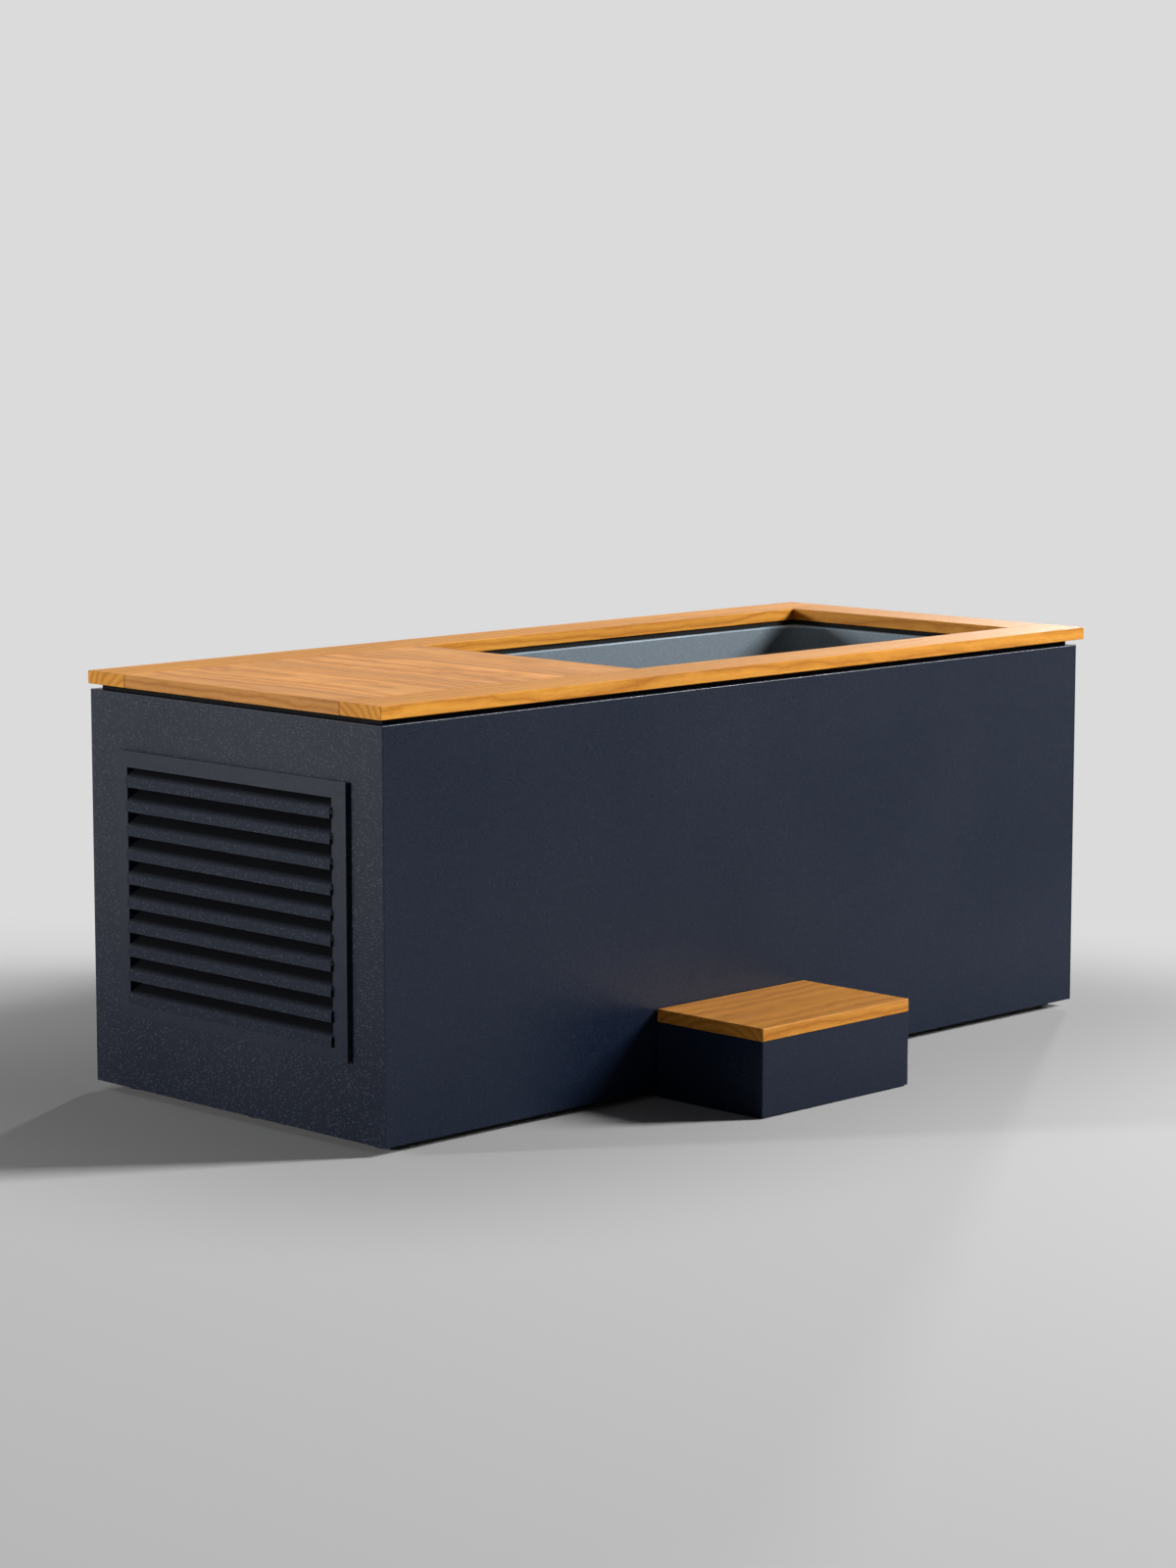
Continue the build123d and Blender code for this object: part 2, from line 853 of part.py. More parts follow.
def return_jet():
    """The return fitting, with a narrower jet in its face."""
    y, z = wall_fitting_points()["return"]
    body = wall_fitting(y, z)
    back = tub_wall + fitting_nut_length + fitting_face
    body -= rod((tub_x0 - back, y, z), (1, 0, 0), back, pipe_bore)
    return body - rod((tub_x0 - 1, y, z), (1, 0, 0), fitting_face + 2, jet_radius)


def drain_fitting():
    """The drain fitting, open right through, with a crossbar over its mouth."""
    y, z = wall_fitting_points()["drain"]
    body = wall_fitting(y, z)
    back = tub_wall + fitting_nut_length + fitting_face
    body -= rod((tub_x0 - back, y, z), (1, 0, 0), back + fitting_face + 1, pipe_bore)
    half = drain_bar_width / 2
    bar = block(tub_x0, tub_x0 + fitting_face / 2, y - pipe_bore, y + pipe_bore, z - half, z + half)
    return body + bar


def fitting_nuts():
    """The nuts that clamp the fittings to the tub's wall, with a through hole each."""
    nuts = []
    x0 = tub_x0 - tub_wall - fitting_nut_length
    for y, z in wall_fitting_points().values():
        outline = Plane(origin=(x0, y, z), z_dir=(1, 0, 0)) * RegularPolygon(fitting_nut_radius, 6)
        nut = extrude(outline, fitting_nut_length)
        hole = rod((x0, y, z), (1, 0, 0), fitting_nut_length, fitting_thread_radius + shaft_clearance)
        nuts.append(nut - hole)
    return nuts


fitting_back = tub_x0 - tub_wall - fitting_nut_length - fitting_face

# Circulation pump, on the suction line's axis

pump_y = front_y + suction_from_front
pump_z = suction_height
pump_x1 = bay_x1 - pump_from_bulkhead
pump_x0 = pump_x1 - pump_case_length
motor_x0 = pump_x0 - pump_motor_length


def suction_pipe():
    """From the strainer straight to the pump's inlet."""
    return pipe((pump_x1, pump_y, pump_z), (1, 0, 0), fitting_back - pump_x1, pipe_radius, pipe_bore)


def pump_body():
    """The pump's case, hollow for the impeller, with its inlet, its outlet neck and its foot."""
    axis = (1, 0, 0)
    case = rod((pump_x0, pump_y, pump_z), axis, pump_case_length, pump_case_radius)
    neck_length = pump_case_radius + pump_neck
    neck_x = (pump_x0 + pump_x1) / 2
    case += rod((neck_x, pump_y, pump_z), (0, 0, 1), neck_length, pipe_radius)
    case += block(
        pump_x0,
        pump_x1,
        pump_y - pump_foot_width / 2,
        pump_y + pump_foot_width / 2,
        gear_z,
        pump_z - pump_case_radius / 2,
    )
    hollow = rod(
        (pump_x0 + pump_case_wall, pump_y, pump_z),
        axis,
        pump_case_length - 2 * pump_case_wall,
        pump_case_radius - pump_case_wall,
    )
    case -= hollow
    case -= rod((pump_x1 - 2 * pump_case_wall, pump_y, pump_z), axis, 3 * pump_case_wall, pipe_bore)
    case -= rod((neck_x, pump_y, pump_z), (0, 0, 1), neck_length, pipe_bore)
    shaft_hole = pump_shaft_radius + shaft_clearance
    case -= rod((pump_x0 - 1, pump_y, pump_z), axis, pump_case_wall + 2, shaft_hole)
    return case


def pump_motor():
    """The motor's hollow case behind the pump, with a bearing boss at each end and cooling ribs."""
    axis = (1, 0, 0)
    centre = (motor_x0, pump_y, pump_z)
    case = rod(centre, axis, pump_motor_length, pump_motor_radius)
    for x in spread(motor_x0 + motor_rib_inset, pump_x0 - motor_rib_inset, motor_rib_count):
        rib = rod((x, pump_y, pump_z), axis, motor_rib_width, pump_motor_radius + motor_rib_height)
        case += rib
    case += block(
        motor_x0 + motor_foot_inset,
        pump_x0 - motor_foot_inset,
        pump_y - motor_foot_width / 2,
        pump_y + motor_foot_width / 2,
        gear_z,
        pump_z - pump_motor_radius / 2,
    )
    inner_start = (motor_x0 + pump_motor_wall, pump_y, pump_z)
    inner = pump_motor_length - 2 * pump_motor_wall
    case -= rod(inner_start, axis, inner, pump_rotor_radius + running_gap)
    case -= rod(centre, axis, pump_motor_length, pump_shaft_radius + shaft_clearance)
    return case


def pump_rotor():
    """The shaft with the motor's rotor and the impeller on it."""
    axis = (1, 0, 0)
    end = pump_x0 + pump_case_wall + running_gap + impeller_thickness
    start = motor_x0 + 1
    rotor = rod((start, pump_y, pump_z), axis, end - start, pump_shaft_radius)
    core_x = motor_x0 + pump_motor_wall + 2 * running_gap
    core_length = pump_motor_length - 2 * pump_motor_wall - 4 * running_gap
    rotor += rod((core_x, pump_y, pump_z), axis, core_length, pump_rotor_radius)
    disc_x = pump_x0 + pump_case_wall + running_gap
    rotor += rod((disc_x, pump_y, pump_z), axis, impeller_thickness, impeller_radius)
    for i in range(impeller_vanes):
        vane = block(
            disc_x,
            disc_x + impeller_vane_height,
            pump_shaft_radius / 2,
            impeller_radius,
            -impeller_vane_width / 2,
            impeller_vane_width / 2,
        )
        turn = Pos(0, pump_y, pump_z) * Rot(360 * i / impeller_vanes, 0, 0)
        rotor += turn * vane & rod((start, pump_y, pump_z), axis, pump_motor_length * 2, impeller_radius)
    return rotor


# Steriliser, filter and heat exchanger

steriliser_x = (pump_x0 + pump_x1) / 2
steriliser_z0 = pump_z + pump_case_radius + pump_neck
steriliser_z1 = steriliser_z0 + steriliser_length
filter_x = steriliser_x
filter_y = front_y + filter_from_front
filter_inlet_z = steriliser_z1 + filter_inlet_rise
filter_top = gear_z + filter_height
exchanger_x = filter_x
exchanger_y = front_y + return_from_front
exchanger_top = gear_z + exchanger_height


def uv_steriliser():
    """An upright lamp chamber between the pump and the filter, with a collar at each end."""
    start = (steriliser_x, pump_y, steriliser_z0)
    chamber = rod(start, (0, 0, 1), steriliser_length, steriliser_radius)
    for z in (steriliser_z0, steriliser_z1 - steriliser_collar):
        collar_radius = steriliser_radius + steriliser_collar_overhang
        chamber += rod((steriliser_x, pump_y, z), (0, 0, 1), steriliser_collar, collar_radius)
    return chamber - rod(start, (0, 0, 1), steriliser_length, pipe_bore)


def vessel(x, y, radius):
    """The round space that an upright vessel on the tray fills."""
    return rod((x, y, gear_z), (0, 0, 1), filter_height, radius)


def filter_inlet_pipe():
    """From the steriliser's top, over to the filter's side, its end cut to the filter's wall."""
    points = [
        (steriliser_x, pump_y, steriliser_z1),
        (steriliser_x, pump_y, filter_inlet_z),
        (steriliser_x, filter_y - filter_radius + pipe_saddle_depth, filter_inlet_z),
    ]
    solid = bent_bar(points, pipe_radius, pipe_bend_radius)
    solid -= bent_bar(points, pipe_bore, pipe_bend_radius)
    return solid - vessel(filter_x, filter_y, filter_radius)


def filter_housing():
    """An open-topped canister with an inlet high on one side and an outlet low on the other."""
    start = (filter_x, filter_y, gear_z)
    can = rod(start, (0, 0, 1), filter_height, filter_radius)
    rim_z = filter_top - 2 * filter_wall
    can += rod((filter_x, filter_y, rim_z), (0, 0, 1), 2 * filter_wall, filter_radius + filter_lid_overhang)
    inner_z = gear_z + filter_wall
    can -= rod((filter_x, filter_y, inner_z), (0, 0, 1), filter_height, filter_radius - filter_wall)
    low = (filter_x, filter_y, filter_outlet_height)
    high = (filter_x, filter_y, filter_inlet_z)
    can -= rod(low, (0, 1, 0), filter_radius + 1, pipe_bore)
    return can - rod(high, (0, -1, 0), filter_radius + 1, pipe_bore)


def filter_lid():
    """The filter's lid: a disc with a spigot inside the rim and a grip on top."""
    start = (filter_x, filter_y, filter_top)
    lid = rod(start, (0, 0, 1), filter_lid_height, filter_radius + filter_lid_overhang)
    lid = fillet(lid.faces().sort_by(Axis.Z)[-1].edges(), filter_lid_edge)
    spigot_start = (filter_x, filter_y, filter_top - filter_spigot_depth)
    spigot_radius = filter_radius - filter_wall - filter_spigot_clearance
    lid += rod(spigot_start, (0, 0, 1), filter_spigot_depth, spigot_radius)
    grip_z = filter_top + filter_lid_height
    grip = block(
        filter_x - filter_grip_length / 2,
        filter_x + filter_grip_length / 2,
        filter_y - filter_grip_width / 2,
        filter_y + filter_grip_width / 2,
        grip_z,
        grip_z + filter_grip_height,
    )
    grip = fillet(grip.edges().filter_by(Axis.Z), filter_grip_width * 0.45)
    return lid + grip


def filter_cartridge():
    """A pleated cartridge with end caps, hung from the lid."""
    bottom = gear_z + filter_wall + cartridge_floor_gap
    top = filter_top - filter_spigot_depth
    start = (filter_x, filter_y, bottom)
    core = rod(start, (0, 0, 1), top - bottom, cartridge_radius)
    for i in range(cartridge_pleats):
        groove = block(
            cartridge_radius - cartridge_pleat_depth,
            cartridge_radius + 1,
            -cartridge_pleat_gap / 2,
            cartridge_pleat_gap / 2,
            bottom + cartridge_cap,
            top - cartridge_cap,
        )
        core -= Pos(filter_x, filter_y, 0) * Rot(0, 0, 360 * i / cartridge_pleats) * groove
    return core - rod(start, (0, 0, 1), top - bottom - cartridge_cap, cartridge_bore)


def filter_outlet_pipe():
    """From the filter's low side straight to the heat exchanger."""
    y0 = filter_y + filter_radius - pipe_saddle_depth
    y1 = exchanger_y - exchanger_radius + pipe_saddle_depth
    run = pipe((filter_x, y0, filter_outlet_height), (0, 1, 0), y1 - y0, pipe_radius, pipe_bore)
    run -= vessel(filter_x, filter_y, filter_radius)
    return run - vessel(exchanger_x, exchanger_y, exchanger_radius)


def heat_exchanger():
    """An upright vessel with thick caps and a bore for each of its two water pipes."""
    start = (exchanger_x, exchanger_y, gear_z)
    body = rod(start, (0, 0, 1), exchanger_height, exchanger_radius)
    cap_radius = exchanger_radius + exchanger_cap_overhang
    for z in (gear_z, exchanger_top - exchanger_cap):
        body += rod((exchanger_x, exchanger_y, z), (0, 0, 1), exchanger_cap, cap_radius)
    inlet = (exchanger_x, exchanger_y, filter_outlet_height)
    body -= rod(inlet, (0, -1, 0), exchanger_radius + 1, pipe_bore)
    outlet = (exchanger_x, exchanger_y, return_height)
    return body - rod(outlet, (1, 0, 0), exchanger_radius + 1, pipe_bore)


def return_pipe():
    """From the heat exchanger straight to the return jet."""
    x0 = exchanger_x + exchanger_radius - pipe_saddle_depth
    start = (x0, exchanger_y, return_height)
    run = pipe(start, (1, 0, 0), fitting_back - x0, pipe_radius, pipe_bore)
    return run - vessel(exchanger_x, exchanger_y, exchanger_radius)


# Drain

drain_y = front_y + drain_from_front
drain_x = bay_x1 - valve_body_radius - drain_run_gap
valve_y1 = frame_y1 - tube_size
valve_y0 = valve_y1 - valve_body_length
valve_y = (valve_y0 + valve_y1) / 2


def drain_pipe():
    """From the drain fitting into the bay, then back to the valve."""
    points = [
        (fitting_back, drain_y, drain_height),
        (drain_x, drain_y, drain_height),
        (drain_x, valve_y0, drain_height),
    ]
    solid = bent_bar(points, pipe_radius, drain_bend_radius)
    return solid - bent_bar(points, pipe_bore, drain_bend_radius)


def drain_valve_body():
    """The ball valve's body: a round case with a ball seat, a stem neck and a through bore."""
    start = (drain_x, valve_y0, drain_height)
    body = rod(start, (0, 1, 0), valve_body_length, valve_body_radius)
    centre = (drain_x, valve_y, drain_height)
    neck = valve_body_radius + valve_neck_height
    body += rod(centre, (0, 0, 1), neck, valve_neck_radius)
    seat = Pos(*centre) * Sphere(valve_ball_radius + valve_ball_clearance)
    body -= seat
    body -= rod(start, (0, 1, 0), valve_body_length, outlet_bore)
    return body - rod(centre, (0, 0, 1), neck, valve_stem_radius + shaft_clearance)


def drain_lever():
    """The valve's ball, stem and lever in one turning piece. It points along the pipe when open."""
    centre = (drain_x, valve_y, drain_height)
    piece = Pos(*centre) * Sphere(valve_ball_radius)
    piece -= rod((drain_x, valve_y0, drain_height), (0, 1, 0), valve_body_length, outlet_bore)
    lever_z = drain_height + valve_body_radius + valve_neck_height
    piece += rod(
        (drain_x, valve_y, drain_height + valve_stem_start),
        (0, 0, 1),
        lever_z - drain_height - valve_stem_start,
        valve_stem_radius,
    )
    blade = block(
        drain_x - lever_width / 2,
        drain_x + lever_width / 2,
        valve_y - lever_length,
        valve_y + lever_width / 2,
        lever_z,
        lever_z + lever_thickness,
    )
    blade = fillet(blade.edges().filter_by(Axis.Z), lever_width * 0.45)
    return piece + blade


def drain_outlet():
    """The hose tail from the valve out through the back panel, with a flange outside."""
    start = (drain_x, valve_y1, drain_height)
    length = back_y + outlet_reach - valve_y1
    tail = rod(start, (0, 1, 0), length, outlet_radius)
    tail += rod((drain_x, back_y, drain_height), (0, 1, 0), cap_wall, outlet_flange_radius)
    return tail - rod(start, (0, 1, 0), length, outlet_bore)


def drain_cap():
    """The cap over the hose tail's mouth."""
    y0 = back_y + cap_wall
    radius = outlet_radius + cap_clearance
    length = outlet_reach - cap_wall
    cap = rod((drain_x, y0, drain_height), (0, 1, 0), length + cap_wall, radius + cap_wall)
    return cap - rod((drain_x, y0, drain_height), (0, 1, 0), length, radius)


def back_panel():
    """The back panel, holed for the drain outlet and the mains gland."""
    panel = side_panel(back_y, -1)
    reach = 2 * panel_thickness
    gap = panel_hole_clearance
    hole = rod((drain_x, back_y - reach, drain_height), (0, 1, 0), 2 * reach, outlet_radius + gap)
    gland = rod((gland_x, back_y - reach, gland_height), (0, 1, 0), 2 * reach, gland_radius + gap)
    return panel - hole - gland


# Refrigeration

condenser_x0 = louvre_x + condenser_from_end
condenser_x1 = condenser_x0 + condenser_depth
condenser_y0 = slot_y0 + condenser_margin
condenser_y1 = slot_y1 - condenser_margin
condenser_top = condenser_bottom + condenser_height
fan_y = (condenser_y0 + condenser_y1) / 2
fan_z = (condenser_bottom + condenser_top) / 2
shroud_x0 = condenser_x1
shroud_x1 = shroud_x0 + shroud_ring_depth
fan_x0 = shroud_x0 + (shroud_ring_depth - fan_hub_length) / 2


def equipment_tray():
    """The tray that carries the gear, on the base frame."""
    gap = tray_clearance
    return block(
        frame_x0 + tube_size + gap,
        bulkhead_x - gap,
        frame_y0 + tube_size / 2,
        frame_y1 - tube_size / 2,
        tray_z,
        gear_z,
    )


def condenser_coil():
    """The finned core between two side plates that stand on the tray."""
    core = block(
        condenser_x0, condenser_x1, condenser_y0, condenser_y1, condenser_bottom, condenser_top
    )
    border = fin_border
    count = int((condenser_y1 - condenser_y0) // fin_pitch) - 1
    for i in range(count):
        y = condenser_y0 + fin_pitch * (i + 1)
        for x in (condenser_x0, condenser_x1 - fin_slot_depth):
            core -= block(
                x, x + fin_slot_depth, y, y + fin_slot, condenser_bottom + border, condenser_top - border
            )
    plate = condenser_side_plate
    for y in (condenser_y0 - plate, condenser_y1):
        core += block(condenser_x0, condenser_x1, y, y + plate, gear_z, condenser_top)
    return core


def fan_shroud():
    """A plate behind the condenser with a ring round the fan and arms that hold its motor."""
    plate = block(
        shroud_x0,
        shroud_x0 + shroud_plate,
        condenser_y0,
        condenser_y1,
        condenser_bottom,
        condenser_top,
    )
    bore = fan_radius + fan_tip_gap
    centre = (shroud_x0, fan_y, fan_z)
    ring = rod(centre, (1, 0, 0), shroud_ring_depth, bore + shroud_ring_wall)
    shroud = plate + ring - rod(centre, (1, 0, 0), shroud_ring_depth, bore)
    reach = bore + shroud_ring_wall
    arm_x0 = shroud_x1
    arm_x1 = shroud_x1 + fan_arm_thickness
    half = fan_arm_width / 2
    arms = block(arm_x0, arm_x1, fan_y - reach, fan_y + reach, fan_z - half, fan_z + half)
    arms += block(arm_x0, arm_x1, fan_y - half, fan_y + half, fan_z - reach, fan_z + reach)
    shroud += arms
    return shroud - rod((arm_x0, fan_y, fan_z), (1, 0, 0), fan_arm_thickness, 2 * fan_shaft_radius)


def fan_motor():
    """The fan's motor behind the arms, with a bore for the rotor's shaft."""
    start = (shroud_x1 + fan_arm_thickness, fan_y, fan_z)
    body = rod(start, (1, 0, 0), fan_motor_length, fan_motor_radius)
    body = fillet(body.faces().sort_by(Axis.X)[-1].edges(), fan_motor_edge)
    depth = fan_shaft_depth + fan_shaft_end_gap
    return body - rod(start, (1, 0, 0), depth, fan_shaft_radius + shaft_clearance)


def fan_rotor():
    """The hub, its shaft and the pitched blades."""
    hub = rod((fan_x0, fan_y, fan_z), (1, 0, 0), fan_hub_length, fan_hub_radius)
    hub = fillet(hub.faces().sort_by(Axis.X)[0].edges(), fan_hub_edge)
    shaft_end = shroud_x1 + fan_arm_thickness + fan_shaft_depth
    hub += rod((fan_x0, fan_y, fan_z), (1, 0, 0), shaft_end - fan_x0, fan_shaft_radius)
    middle_x = fan_x0 + fan_hub_length / 2
    root = fan_hub_radius - fan_blade_root
    span = fan_radius - root
    sweep_disc = rod((-fan_hub_length / 2, 0, 0), (1, 0, 0), fan_hub_length, fan_radius)
    for i in range(fan_blade_count):
        blade = Box(fan_blade_thickness, fan_blade_width, span)
        blade = fillet(blade.edges().filter_by(Axis.X).group_by(Axis.Z)[-1], fan_blade_corner)
        blade = Pos(0, 0, root + span / 2) * Rot(0, 0, fan_blade_angle) * blade
        around = Rot(360 * i / fan_blade_count, 0, 0)
        hub += Pos(middle_x, fan_y, fan_z) * around * (blade & sweep_disc)
    return hub


compressor_x = louvre_x + compressor_from_end
compressor_y = front_y + compressor_from_front
compressor_z0 = gear_z + compressor_foot_height
compressor_z1 = compressor_z0 + compressor_plate + compressor_height


def compressor():
    """A welded pot with a domed top on a square base plate."""
    half = compressor_radius + compressor_plate_margin
    plate = block(
        compressor_x - half,
        compressor_x + half,
        compressor_y - half,
        compressor_y + half,
        compressor_z0,
        compressor_z0 + compressor_plate,
    )
    plate = fillet(plate.edges().filter_by(Axis.Z), compressor_plate_corner)
    start = (compressor_x, compressor_y, compressor_z0 + compressor_plate)
    pot = rod(start, (0, 0, 1), compressor_height, compressor_radius)
    pot = fillet(pot.faces().sort_by(Axis.Z)[-1].edges(), compressor_dome)
    seam = (compressor_x, compressor_y, compressor_z0 + compressor_plate + compressor_seam_height)
    pot += rod(seam, (0, 0, 1), compressor_seam_width, compressor_radius + compressor_seam_proud)
    return plate + pot


def compressor_feet():
    """Four rubber mounts under the compressor's base plate."""
    reach = compressor_radius + compressor_plate_margin - compressor_foot_radius
    return [
        rod(
            (compressor_x + i * reach, compressor_y + j * reach, gear_z),
            (0, 0, 1),
            compressor_foot_height,
            compressor_foot_radius,
        )
        for i in (-1, 1)
        for j in (-1, 1)
    ]


def refrigerant_lines():
    """Copper lines: hot gas to the condenser, liquid to the exchanger, cold gas back."""
    radius = refrigerant_pipe_radius
    bend = refrigerant_bend
    hot_y = compressor_y + refrigerant_line_offset
    coil_x = (condenser_x0 + condenser_x1) / 2
    hot = bent_bar(
        [
            (compressor_x, hot_y, compressor_z1),
            (compressor_x, hot_y, hot_line_height),
            (coil_x, hot_y, hot_line_height),
            (coil_x, hot_y, condenser_top),
        ],
        radius,
        bend,
    )
    liquid_z = liquid_line_height
    liquid_y = back_y - liquid_line_from_back
    liquid = bent_bar(
        [
            (coil_x, condenser_y1 + condenser_side_plate, liquid_z),
            (coil_x, liquid_y, liquid_z),
            (exchanger_x, liquid_y, liquid_z),
            (exchanger_x, exchanger_y + exchanger_radius, liquid_z),
        ],
        radius,
        bend * 0.8,
    )
    cold_y = compressor_y - refrigerant_line_offset
    cold = bent_bar(
        [
            (exchanger_x, cold_y, exchanger_top),
            (exchanger_x, cold_y, cold_line_height),
            (compressor_x, cold_y, cold_line_height),
            (compressor_x, cold_y, compressor_z1),
        ],
        radius,
        bend,
    )
    return [hot, liquid, cold]


# Electrics

box_x0 = louvre_x + control_box_from_end
box_x1 = box_x0 + control_box_length
box_y1 = frame_y1 - tube_size
box_y0 = box_y1 - control_box_depth
box_z1 = frame_top - control_box_top_gap
box_z0 = box_z1 - control_box_height
button_x = (box_x0 + box_x1) / 2
button_y = (box_y0 + box_y1) / 2
gland_x = louvre_x + gland_from_end


def control_box():
    """An open-topped enclosure with a back bracket that reaches the top frame."""
    shell = block(box_x0, box_x1, box_y0, box_y1, box_z0, box_z1)
    wall = control_box_wall
    shell -= block(box_x0 + wall, box_x1 - wall, box_y0 + wall, box_y1 - wall, box_z0 + wall, box_z1)
    width = box_bracket_width
    low = box_z1 - box_bracket_overlap
    high = frame_under + tube_size / 2
    for x in (box_x0 + box_bracket_inset, box_x1 - box_bracket_inset - width):
        shell += block(x, x + width, box_y1 - wall, box_y1, low, high)
    return shell


def control_box_lid():
    """The enclosure's lid, holed for the button."""
    lid = block(
        box_x0, box_x1, box_y0, box_y1 - control_box_wall, box_z1, box_z1 + control_lid_thickness
    )
    hole_radius = button_radius + button_clearance
    hole = rod((button_x, button_y, box_z1), (0, 0, 1), control_lid_thickness, hole_radius)
    return lid - hole


def power_button():
    """A round push button with a flange that stops under the lid."""
    low = box_z1 - button_clearance - button_flange
    top = box_z1 + control_lid_thickness + button_travel + button_proud
    stem = rod((button_x, button_y, low), (0, 0, 1), top - low, button_radius)
    stem = fillet(stem.faces().sort_by(Axis.Z)[-1].edges(), button_edge)
    return stem + rod((button_x, button_y, low), (0, 0, 1), button_flange, button_radius + button_flange)


def mains_gland():
    """The empty cable gland in the back panel: a flange outside and a nut inside."""
    depth = panel_thickness + gland_nut + gland_tail
    start = (gland_x, back_y - depth, gland_height)
    body = rod(start, (0, 1, 0), depth + gland_flange, gland_radius)
    body += rod((gland_x, back_y, gland_height), (0, 1, 0), gland_flange, gland_flange_radius)
    nut_start = (gland_x, back_y - panel_thickness - gland_nut, gland_height)
    nut_face = Plane(origin=nut_start, z_dir=(0, 1, 0)) * RegularPolygon(gland_flange_radius, 6)
    body += extrude(nut_face, gland_nut)
    return body - rod(start, (0, 1, 0), depth + gland_flange, gland_radius - gland_wall)


# Step

step_x0 = louvre_x + step_from_louvre_end
step_x1 = step_x0 + step_length
step_y1 = front_y - step_gap
step_y0 = step_y1 - step_width
tread_z = step_height - step_tread_thickness


def step_box():
    """The step's folded box: four sides and a top return that carries the tread."""
    box = block(step_x0, step_x1, step_y0, step_y1, pad_thickness, tread_z)
    box = fillet(box.edges().filter_by(Axis.Z), step_corner_radius)
    sheet = step_sheet
    box -= block(
        step_x0 + sheet, step_x1 - sheet, step_y0 + sheet, step_y1 - sheet, pad_thickness, tread_z - sheet
    )
    turn = step_return
    box -= block(step_x0 + turn, step_x1 - turn, step_y0 + turn, step_y1 - turn, pad_thickness, tread_z)
    for x in (step_x0, step_x1 - step_pad_size):
        for y in (step_y0, step_y1 - step_pad_size):
            foot = block(x, x + step_pad_size, y, y + step_pad_size, pad_thickness, pad_thickness + sheet)
            box += foot & block(
                step_x0 + sheet, step_x1 - sheet, step_y0 + sheet, step_y1 - sheet, 0, tread_z
            )
    return box


def step_tread():
    """The step's timber top, flush with the box."""
    board = block(step_x0, step_x1, step_y0, step_y1, tread_z, step_height)
    return fillet(board.edges(), timber_edge_radius)


def step_pads():
    """Rubber pads under the step's corners."""
    inset = step_pad_inset
    size = step_pad_size - 2 * inset
    pads = []
    for x in (step_x0 + inset, step_x1 - inset - size):
        for y in (step_y0 + inset, step_y1 - inset - size):
            pads.append(block(x, x + size, y, y + size, 0, pad_thickness))
    return pads


save("rubber_pads", *rubber_pads())
save("plinth_frame", *plinth_frame())
save("floor_pan", floor_pan())
save("base_frame", *level_frame(base_z, base_places()))
save("uprights", *uprights())
save("top_frame", *top_frame())
save("front_panel", side_panel(front_y, 1))
save("back_panel", back_panel())
save("louvre_end_panel", louvre_end_panel())
save("tub_end_panel", end_panel(tub_x, -1))
panel_screws = [screw(x, y, cabinet_top, panel_screw_length, False) for x, y in panel_screw_points()]
save("panel_screws", *panel_screws)
save("bulkhead", bulkhead())
save("deck_spacer", *deck_spacer())
save("front_rail", cut_deck_screws(timber(deck_x0, deck_x1, deck_y0, opening_y0)))
save("back_rail", cut_deck_screws(timber(deck_x0, deck_x1, opening_y1, deck_y1)))
end_board = timber(opening_x1, deck_x1, opening_y0 + board_gap, opening_y1 - board_gap)
save("tub_end_board", cut_deck_screws(end_board))
deck_screws = [screw(x, y, cabinet_top, deck_screw_length, True) for x, y in deck_screw_points()]
save("deck_screws", *deck_screws)
save("service_hatch", timber(deck_x0, hatch_end, opening_y0 + hatch_gap, opening_y1 - hatch_gap))
save("hatch_battens", *hatch_battens())
save("louvre_gasket", louvre_gasket())
save("louvre_magnets", *louvre_magnets())
save("louvre_frame", louvre_frame())
save("louvre_blades", *louvre_blades())
save("tub_shell", *tub_shell())
save("tub_insulation", tub_insulation())
save("suction_fitting", suction_fitting())
save("return_jet", return_jet())
save("drain_fitting", drain_fitting())
save("fitting_nuts", *fitting_nuts())
save("suction_pipe", suction_pipe())
save("pump_body", pump_body())
save("pump_motor", pump_motor())
save("pump_rotor", pump_rotor())
save("uv_steriliser", uv_steriliser())
save("filter_housing", filter_housing())
save("filter_lid", filter_lid())
save("filter_cartridge", filter_cartridge())
save("filter_pipes", filter_inlet_pipe(), filter_outlet_pipe())
save("heat_exchanger", heat_exchanger())
save("return_pipe", return_pipe())
save("drain_pipe", drain_pipe())
save("drain_valve_body", drain_valve_body())
save("drain_lever", drain_lever())
save("drain_outlet", drain_outlet())
save("drain_cap", drain_cap())
save("equipment_tray", equipment_tray())
save("condenser_coil", condenser_coil())
save("fan_shroud", fan_shroud())
save("fan_motor", fan_motor())
save("fan_rotor", fan_rotor())
save("compressor", compressor())
save("compressor_feet", *compressor_feet())
save("refrigerant_lines", *refrigerant_lines())
save("control_box", control_box())
save("control_box_lid", control_box_lid())
save("power_button", power_button())
save("mains_gland", mains_gland())
save("step_box", step_box())
save("step_tread", step_tread())
save("step_pads", *step_pads())
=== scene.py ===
# %% [markdown]
# # A cold plunge tub, dressed for its picture
# The tub is a dark blue steel cabinet with a timber deck. A bather sits in the steel tub at one
# end. A chiller, a pump and a filter fill the other end, behind a louvred grille. The solids come
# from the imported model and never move. This lesson gives each of them its finish, adds the small
# pieces that a workshop would add last, and then sets up the floor, the lamps and the camera.

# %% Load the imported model
from math import cos, pi, radians, sin

import bmesh
import bpy
from mathutils import Matrix, Vector


